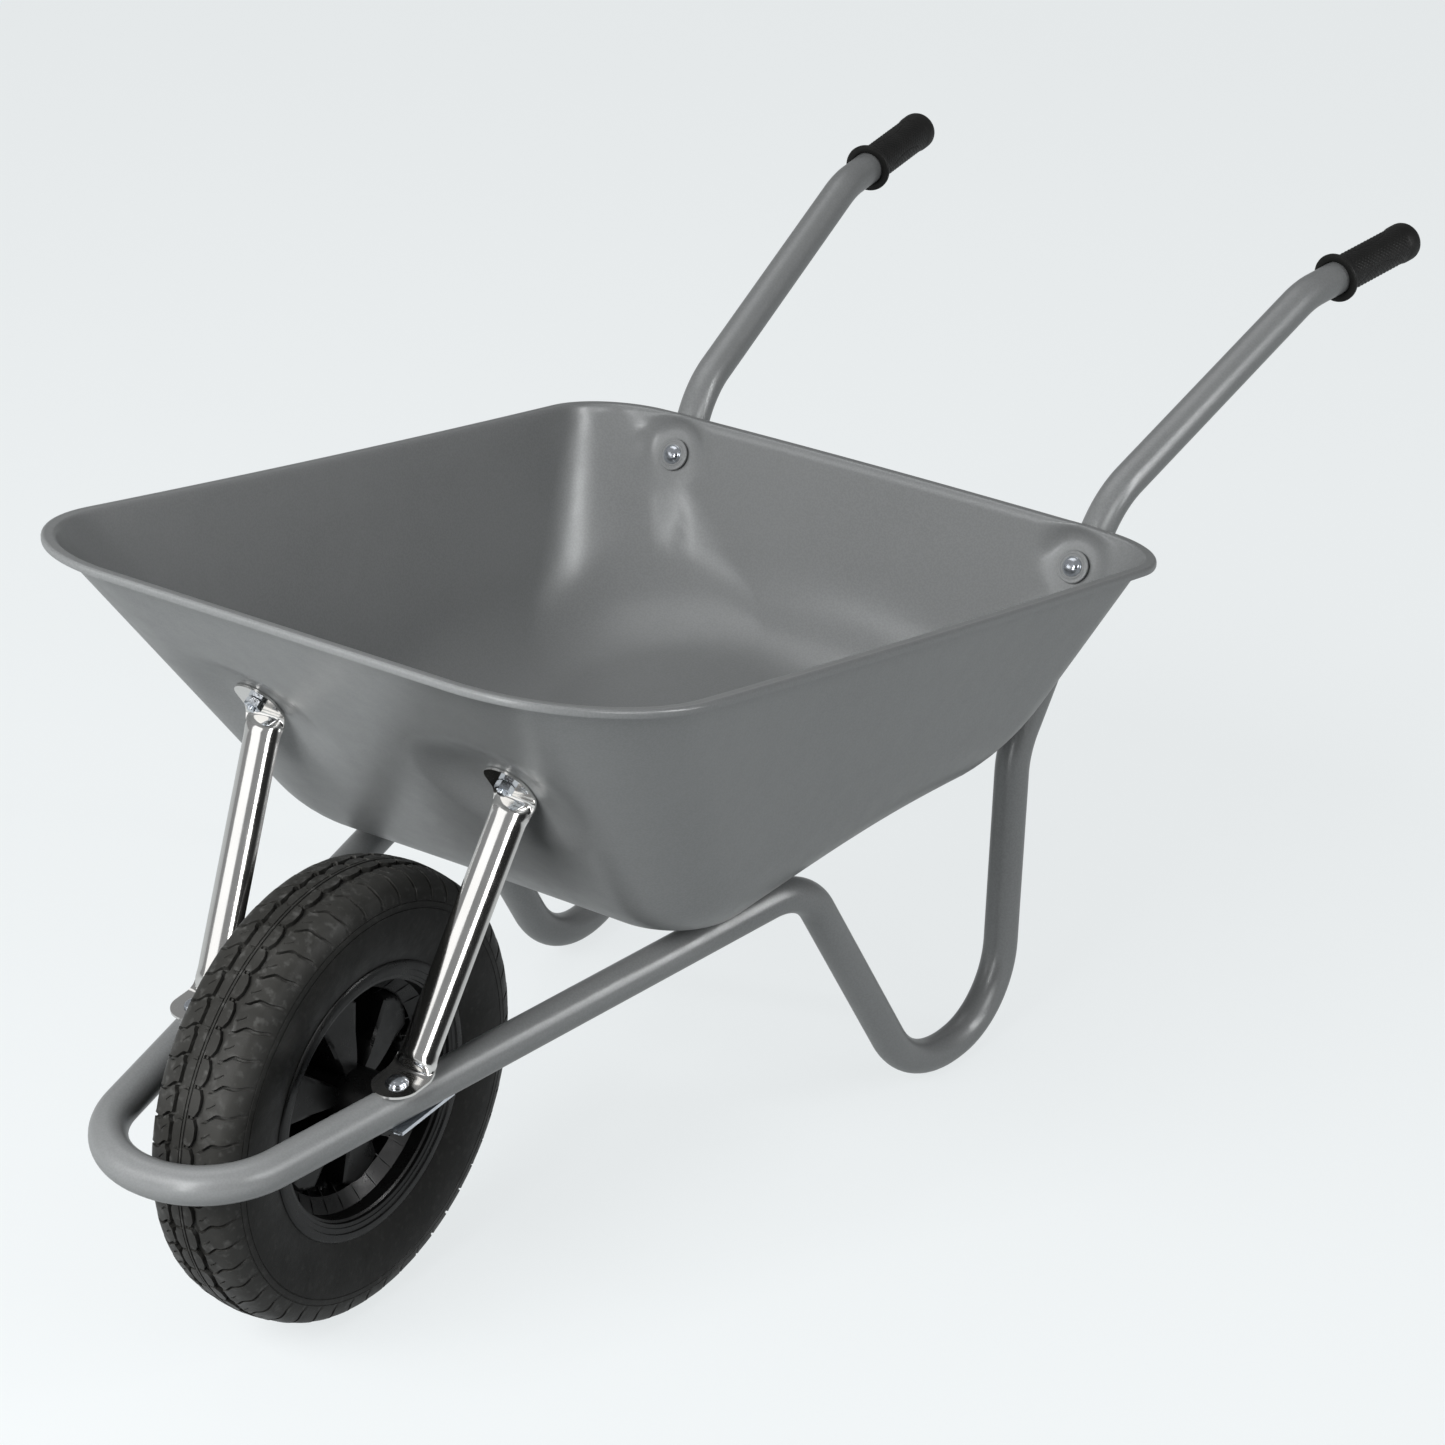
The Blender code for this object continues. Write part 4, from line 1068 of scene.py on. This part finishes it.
def tyre():
    """A moulded tread of centre blocks and wavy shoulder blocks on a smooth-sided carcass."""
    curve = smooth_curve(CARCASS, 12)
    steps = np.linalg.norm(np.diff(curve, axis=0), axis=1)
    lengths = np.concatenate([[0.0], np.cumsum(steps)])
    tangents = np.gradient(curve, lengths, axis=0)
    inside = smooth_curve(TYRE_INSIDE, 2)
    inside = np.vstack([inside, inside[::-1] * (1, -1)])
    pitch = 2 * pi / TYRE_PITCHES
    sidewall = sidewall_columns(lengths[-1])

    def half(row, side):
        """(radius, side position, turn) down one half of the tyre's outer face."""
        sets = []
        for reach, depth in centre_columns(row) + shoulder_columns(row) + sidewall:
            radius, out = (np.interp(reach, lengths, curve[:, axis]) for axis in (0, 1))
            slope = [np.interp(reach, lengths, tangents[:, axis]) for axis in (0, 1)]
            norm = hypot(*slope)
            radius -= depth * slope[1] / norm
            out += depth * slope[0] / norm
            sets.append((radius, side * out, side * tread_phase(reach)))
        return sets

    one_pitch = []
    for index, row in enumerate(PITCH_ROWS):
        opposite = (1.0, *PITCH_ROWS[:0:-1])[index]
        right = [(r, x, row + turn) for r, x, turn in half(row, 1)]
        left = [(r, x, 1 - opposite + turn) for r, x, turn in half(opposite % 1.0, -1)]
        middle = []
        for number, (radius, out) in enumerate(inside):
            part = (number + 1) / (len(inside) + 1)
            turn = right[-1][2] * (1 - part) + left[-1][2] * part
            middle.append((radius, out, turn))
        one_pitch.append(right + middle + left[::-1])
    rows = []
    for number in range(TYRE_PITCHES):
        for section in one_pitch:
            rows.append([on_wheel(out, r, (number + turn) * pitch) for r, out, turn in section])
    outer = woven("tyre_treaded", rows, TYRE_RUBBER, 32, wrap_rows=True)
    fitted(outer, "wheel", "tyre")


# ---- wheel rim ----

RIM_STEPS = 144
HUB_STEPS = 72
WEB_STEPS_PER_PETAL = 40
WEB_RINGS = 46
WEB_THICKNESS = 0.0028
WEB_INNER_RADIUS = 0.0200
WEB_WIDTH = 0.0700
PETAL_SPACING = 360 / PETALS
PETAL_HALF_WIDTH = 16
RIB_COUNT = 30
RIB_THICKNESS = 0.0010


def add_barrel(bm):
    """The rim's ring: flanges with stepped faces, two bead seats and a well between them."""
    half = [
        (0.0965, 0.0190), (0.0972, 0.0300), (0.0990, 0.0312), (0.0994, 0.0338),
        (0.1022, 0.0344), (0.1026, 0.0352), (0.1068, 0.0354), (0.1073, 0.0366),
        (0.1120, 0.0368), (0.1134, 0.0364), (FLANGE_RADIUS, 0.0356), (FLANGE_RADIUS, 0.0344),
        (0.1120, 0.0336), (0.1040, 0.0318), (0.1018, 0.0300), (0.1016, 0.0170), (0.0900, 0.0100),
    ]
    profile = both_ways(half) + [(0.0850, -0.0100), (0.0850, 0.0100)]
    add_grid(bm, turned_rows(profile, WHEEL_CENTRE, WHEEL_AXIS, RIM_STEPS), wrap_rows=True)


def add_hub(bm):
    """A sleeve with a stepped end round each bearing."""
    half = HUB_HALF_LENGTH
    seat = BEARING_RADIUS + GAP / 2
    side = [
        (seat, half - 0.0150), (seat, half - 0.0008), (seat + 0.0008, half),
        (HUB_RADIUS - 0.0038, half), (HUB_RADIUS - 0.0030, half - 0.0008),
        (HUB_RADIUS - 0.0028, 0.0400), (HUB_RADIUS, 0.0330), (HUB_RADIUS, 0.0010),
    ]
    profile = both_ways(side) + [(0.0090, -half + 0.0150), (0.0090, half - 0.0150)]
    add_grid(bm, turned_rows(profile, WHEEL_CENTRE, WHEEL_AXIS, HUB_STEPS), wrap_rows=True)


def from_petal(degrees):
    """The angle from the middle of the nearest petal."""
    return (degrees + PETAL_SPACING / 2) % PETAL_SPACING - PETAL_SPACING / 2


def web_side(degrees, radius):
    """Which face the folded web is on: 1 on a petal, -1 in a pocket, between them on its walls."""
    wall_width = 1.6 + 0.05 / radius
    inside = PETAL_HALF_WIDTH - abs(from_petal(degrees))
    return 2 * rise(inside, -wall_width / 2, wall_width / 2) - 1


def web_height(degrees, radius):
    """Distance of the web from the wheel's middle plane: petals arch down at their outer ends."""
    around = from_petal(degrees)
    side = web_side(degrees, radius)
    if side < 0:
        around = PETAL_SPACING / 2 - abs(around)
    crown = 1.0 - 0.30 * rise(radius, 0.030, 0.082)
    end = 0.0850 - 0.0060 * (around / 15) ** 2
    arch = 1 - 0.80 * rise(radius, end - 0.003, end + 0.002)
    return side * PETAL_DEPTH * crown * arch


def web_surface():
    """A folded disc: petals stand out on one face and leave pockets on the other."""
    rows = []
    for ring in range(WEB_RINGS + 1):
        radius = WEB_INNER_RADIUS + WEB_WIDTH * ring / WEB_RINGS
        row = []
        for step in range(PETALS * WEB_STEPS_PER_PETAL):
            degrees = step * PETAL_SPACING / WEB_STEPS_PER_PETAL
            angle = PETAL_TURN + radians(degrees)
            row.append(on_wheel(web_height(degrees, radius), radius, angle))
        rows.append(row)
    return with_thickness(woven("rim_web", rows, RIM_PLASTIC), WEB_THICKNESS, 0.0)


def add_ribs(bm):
    """Thin ribs stand across the channel between the web and the flange, on both faces."""
    section = [
        (0.0780, 0.0030), (0.0975, 0.0030), (0.0975, 0.0200), (0.0900, 0.0150),
        (0.0840, 0.0090),
    ]
    for side in (1, -1):
        for rib in range(RIB_COUNT):
            angle = PETAL_TURN + radians((rib + 0.5) * 360 / RIB_COUNT)
            radial = on_wheel(0, 1, angle) - WHEEL_CENTRE
            across = radial.cross(WHEEL_AXIS) * RIB_THICKNESS / 2
            middle = [on_wheel(side * out, radius, angle) for radius, out in section]
            faces = [[point + across * way for point in middle] for way in (-1, 1)]
            add_grid(bm, faces, caps=True)


def wheel_rim():
    """Moulded in one piece: hub, folded web, ribs and barrel."""
    web = web_surface()
    bm = bmesh.new()
    bm.from_mesh(web.data)
    bpy.data.objects.remove(web, do_unlink=True)
    add_barrel(bm)
    add_hub(bm)
    add_ribs(bm)
    fitted(finished("wheel_rim_moulded", bm, RIM_PLASTIC, 30), "wheel", "wheel_rim")


# ---- grips ----

KNURLS_ROUND = 44
KNURL_LENGTH = 0.0026
KNURL_DEPTH = 0.00045
POINTS_PER_KNURL = 4
GRIP_SIDES = KNURLS_ROUND * POINTS_PER_KNURL
PANEL_LINE_DEPTH = 0.0005
COLLAR_LENGTH = 0.0100
# A grip's closed end: how far it reaches past the tube, its smooth part, its dome, its rim.
END_THICKNESS = 0.0060
END_LENGTH = 0.0220
DOME_LENGTH = 0.0100
END_RIM = 0.0008


def knurl(around, along):
    """Height of a diamond knurl, from 0 in its grooves to 1 on its points."""
    first = abs(((around + along) % 1.0) - 0.5) * 2
    second = abs(((around - along) % 1.0) - 0.5) * 2
    return min(1.0, 1.5 * min(first, second))


def panel_line(angle, part):
    """Depth of the fine groove that draws a long oval on two opposite sides of a grip."""
    around = (angle % pi) / pi - 0.5
    oval = hypot(around / 0.30, (part - 0.5) / 0.46)
    return PANEL_LINE_DEPTH * max(0.0, 1 - abs(oval - 1) / 0.05)


def grip_rows(start, axis, length):
    """Rings of the knurled sleeve between its collar and its domed end."""
    across = axis.orthogonal().normalized()
    other = axis.cross(across)
    steps = int(length / KNURL_LENGTH) * POINTS_PER_KNURL
    rows = []
    for step in range(steps + 1):
        along = step / POINTS_PER_KNURL / 2
        depth = KNURL_DEPTH * min(1.0, min(step, steps - step) / POINTS_PER_KNURL)
        row = []
        for number, angle in enumerate(full_turn(GRIP_SIDES)):
            fall = 1 - knurl(number / POINTS_PER_KNURL / 2, along)
            arm = across * cos(angle) + other * sin(angle)
            reach = GRIP_RADIUS - depth * fall - panel_line(angle, step / steps)
            row.append(start + axis * (length * step / steps) + arm * reach)
        rows.append(row)
    return rows


def grip(side_name, side):
    """A knurled sleeve with a smooth collar at its mouth and a smooth domed end."""
    end = from_axle(mirrored(side, HANDLE_END))
    axis = (end - from_axle(mirrored(side, FRAME_CORNERS[-1][0]))).normalized()
    mouth = END_THICKNESS - GRIP_LENGTH
    knurl_start = mouth + COLLAR_LENGTH
    knurl_end = END_THICKNESS - END_LENGTH
    bore = TUBE_RADIUS + GAP
    domed = GRIP_RADIUS + END_RIM
    collar = [
        (0.0, 0.0010), (bore, 0.0010), (bore, mouth + 0.0010), (bore + 0.0010, mouth),
        (GRIP_COLLAR - 0.0012, mouth), (GRIP_COLLAR - 0.0003, mouth + 0.0005),
        (GRIP_COLLAR, mouth + 0.0016), (GRIP_COLLAR - 0.0002, mouth + 0.0036),
        (GRIP_COLLAR - 0.0016, mouth + 0.0052), (GRIP_RADIUS + 0.0010, mouth + 0.0066),
        (GRIP_RADIUS + 0.0001, mouth + 0.0086),
    ]
    dome = [
        (GRIP_RADIUS + 0.0002, knurl_end + 0.0008), (domed, knurl_end + 0.0030),
        (domed, END_THICKNESS - DOME_LENGTH),
    ]
    for degrees in range(12, 91, 13):
        turn = radians(degrees)
        radius = domed * (0.42 + 0.58 * cos(turn)) if degrees < 90 else 0.0
        dome.append((radius, END_THICKNESS - DOME_LENGTH * (1 - sin(turn))))
    across = axis.orthogonal().normalized()
    other = axis.cross(across)

    def rings(profile):
        return [circle(end + axis * h, across, other, r, GRIP_SIDES) for r, h in profile]

    knurled = grip_rows(end + axis * knurl_start, axis, knurl_end - knurl_start)
    rows = rings(collar) + knurled + rings(dome)
    sleeve = woven(f"grip_knurled_{side_name}", rows, GRIP_PLASTIC, 50)
    fitted(sleeve, "frame", f"grip_{side_name}")


# ---- studio ----

CAMERA_PLACE = (1.8663, -2.8029, 1.9130)
CAMERA_YAW = radians(33.62)
CAMERA_PITCH = radians(25.65)
CAMERA_ROLL = radians(1.578)
CAMERA_LENS = 109.6
CAMERA_SHIFT = (0.00865, 0.00817)
LOOK_AT = Vector((0.0, -0.10, 0.30))


def camera():
    data = bpy.data.cameras.new("studio_camera")
    data.sensor_width = 36
    data.lens = CAMERA_LENS
    data.shift_x, data.shift_y = CAMERA_SHIFT
    forward = Vector((
        -sin(CAMERA_YAW) * cos(CAMERA_PITCH),
        cos(CAMERA_YAW) * cos(CAMERA_PITCH),
        -sin(CAMERA_PITCH),
    ))
    level = Vector((cos(CAMERA_YAW), sin(CAMERA_YAW), 0))
    upright = level.cross(forward)
    right = level * cos(CAMERA_ROLL) + upright * sin(CAMERA_ROLL)
    up = upright * cos(CAMERA_ROLL) - level * sin(CAMERA_ROLL)
    rotation = Matrix((right, up, -forward)).transposed().to_4x4()
    obj = linked("studio_camera", data)
    obj.matrix_world = Matrix.Translation(CAMERA_PLACE) @ rotation
    bpy.context.scene.camera = obj


def soft_box(name, azimuth, elevation, distance, width, height, watts, mirrored_in_gloss=True):
    """An area light that faces the barrow. Azimuth 0 is +X and 90 is +Y, in degrees."""
    data = bpy.data.lights.new(name, "AREA")
    data.shape = "RECTANGLE"
    data.size = width
    data.size_y = height
    data.energy = watts
    turn = radians(azimuth)
    lift = radians(elevation)
    away = Vector((cos(lift) * cos(turn), cos(lift) * sin(turn), sin(lift)))
    obj = linked(name, data)
    obj.location = LOOK_AT + away * distance
    obj.rotation_mode = "QUATERNION"
    obj.rotation_quaternion = away.to_track_quat("Z", "Y")
    obj.visible_glossy = mirrored_in_gloss


def lights():
    soft_box("overhead", 150, 68, 3.2, 2.4, 2.4, 14)
    soft_box("front_key", -97, 33, 3.2, 1.8, 1.4, 172, mirrored_in_gloss=False)
    soft_box("front_card", -126, 16, 3.1, 1.6, 1.8, 8)
    soft_box("front_strip", -80, 18, 3.0, 0.5, 2.4, 19)
    soft_box("side_card", -12, 28, 3.0, 1.6, 1.2, 16)
    soft_box("side_strip", 25, 24, 3.0, 0.24, 1.8, 24)


PALE = (0.836, 0.867, 0.876, 1.0)
DAYLIGHT = (0.97, 0.985, 1.0, 1.0)
# The floor lies just under the feet and the tyre.
FLOOR_HEIGHT = -0.0006
# What polished metal mirrors is dark round this direction, inside the first angle, and has
# its full strength outside the second.
DARK_SIDE = (0.56, -0.77, 0.30)
DARK_SIDE_ANGLES = (radians(16), radians(34))
DARK_SIDE_STRENGTH = 0.02
SURROUND_STRENGTH = 0.25
# How strongly the floor glows for the camera, and for the light that falls on the barrow.
FLOOR_GLOW_SEEN = 0.86
FLOOR_GLOW_CAST = 0.46


def world():
    """Pale behind the floor. Bright metal mirrors a dim grey, and black from the camera's side."""
    made = bpy.data.worlds.new("studio_world")
    made.use_nodes = True
    tree = made.node_tree
    link = tree.links.new
    surround = tree.nodes["Background"]
    surround.inputs["Color"].default_value = DAYLIGHT
    place = add_node(tree, "TexCoord")
    towards = add_node(tree, "VectorMath", {1: DARK_SIDE}, operation="DOT_PRODUCT")
    link(place.outputs["Generated"], towards.inputs[0])
    ends = {
        "From Min": cos(DARK_SIDE_ANGLES[1]), "From Max": cos(DARK_SIDE_ANGLES[0]),
        "To Min": SURROUND_STRENGTH, "To Max": DARK_SIDE_STRENGTH,
    }
    darker = add_node(tree, "MapRange", ends, interpolation_type="SMOOTHSTEP")
    link(towards.outputs["Value"], darker.inputs["Value"])
    link(darker.outputs["Result"], surround.inputs["Strength"])
    backdrop = add_node(tree, "Background", {"Color": PALE, "Strength": 1.0})
    path = add_node(tree, "LightPath")
    mix = add_node(tree, "MixShader")
    link(path.outputs["Is Camera Ray"], mix.inputs["Fac"])
    link(surround.outputs["Background"], mix.inputs[1])
    link(backdrop.outputs["Background"], mix.inputs[2])
    link(mix.outputs["Shader"], tree.nodes["World Output"].inputs["Surface"])
    bpy.context.scene.world = made


def floor():
    """A lit studio floor: it glows a little, so that shadows on it stay faint."""
    look = Look("studio_floor", 0.7)
    tint = look.spread(look.noise(0.6, 2.0))
    look.colour(look.blend(tint, (0.095, 0.100, 0.102), (0.105, 0.110, 0.112)))
    look.shader.inputs["Emission Color"].default_value = PALE
    seen = add_node(look.tree, "LightPath").outputs["Is Camera Ray"]
    glow = look.spread(seen, FLOOR_GLOW_CAST, FLOOR_GLOW_SEEN, 0.0, 1.0)
    look.feed(glow, look.shader, "Emission Strength")
    bm = bmesh.new()
    bmesh.ops.create_grid(bm, x_segments=4, y_segments=4, size=30)
    bmesh.ops.translate(bm, verts=bm.verts, vec=(0, 0, FLOOR_HEIGHT))
    finished("studio_floor", bm, look.material)


def build():
    frame_tube()
    pan()
    for side_name, side in SIDES:
        rear_fastenings(side_name, side)
        strut(side_name, side)
        strut_fastenings(side_name, side)
        rounded_bracket(f"axle_bracket_{side_name}")
        coated_node(f"wheel_bearing_{side_name}", BEARING_STEEL)
        grip(side_name, side)
    axle()
    wheel_rim()
    tyre()
    coated_node("inner_tube", TUBE_RUBBER)
    coated_node("valve_stem", TUBE_RUBBER)
    coated_node("valve_cap", CAP_PLASTIC)


build()
world()
lights()
floor()
camera()
bpy.context.scene.view_settings.view_transform = "Standard"
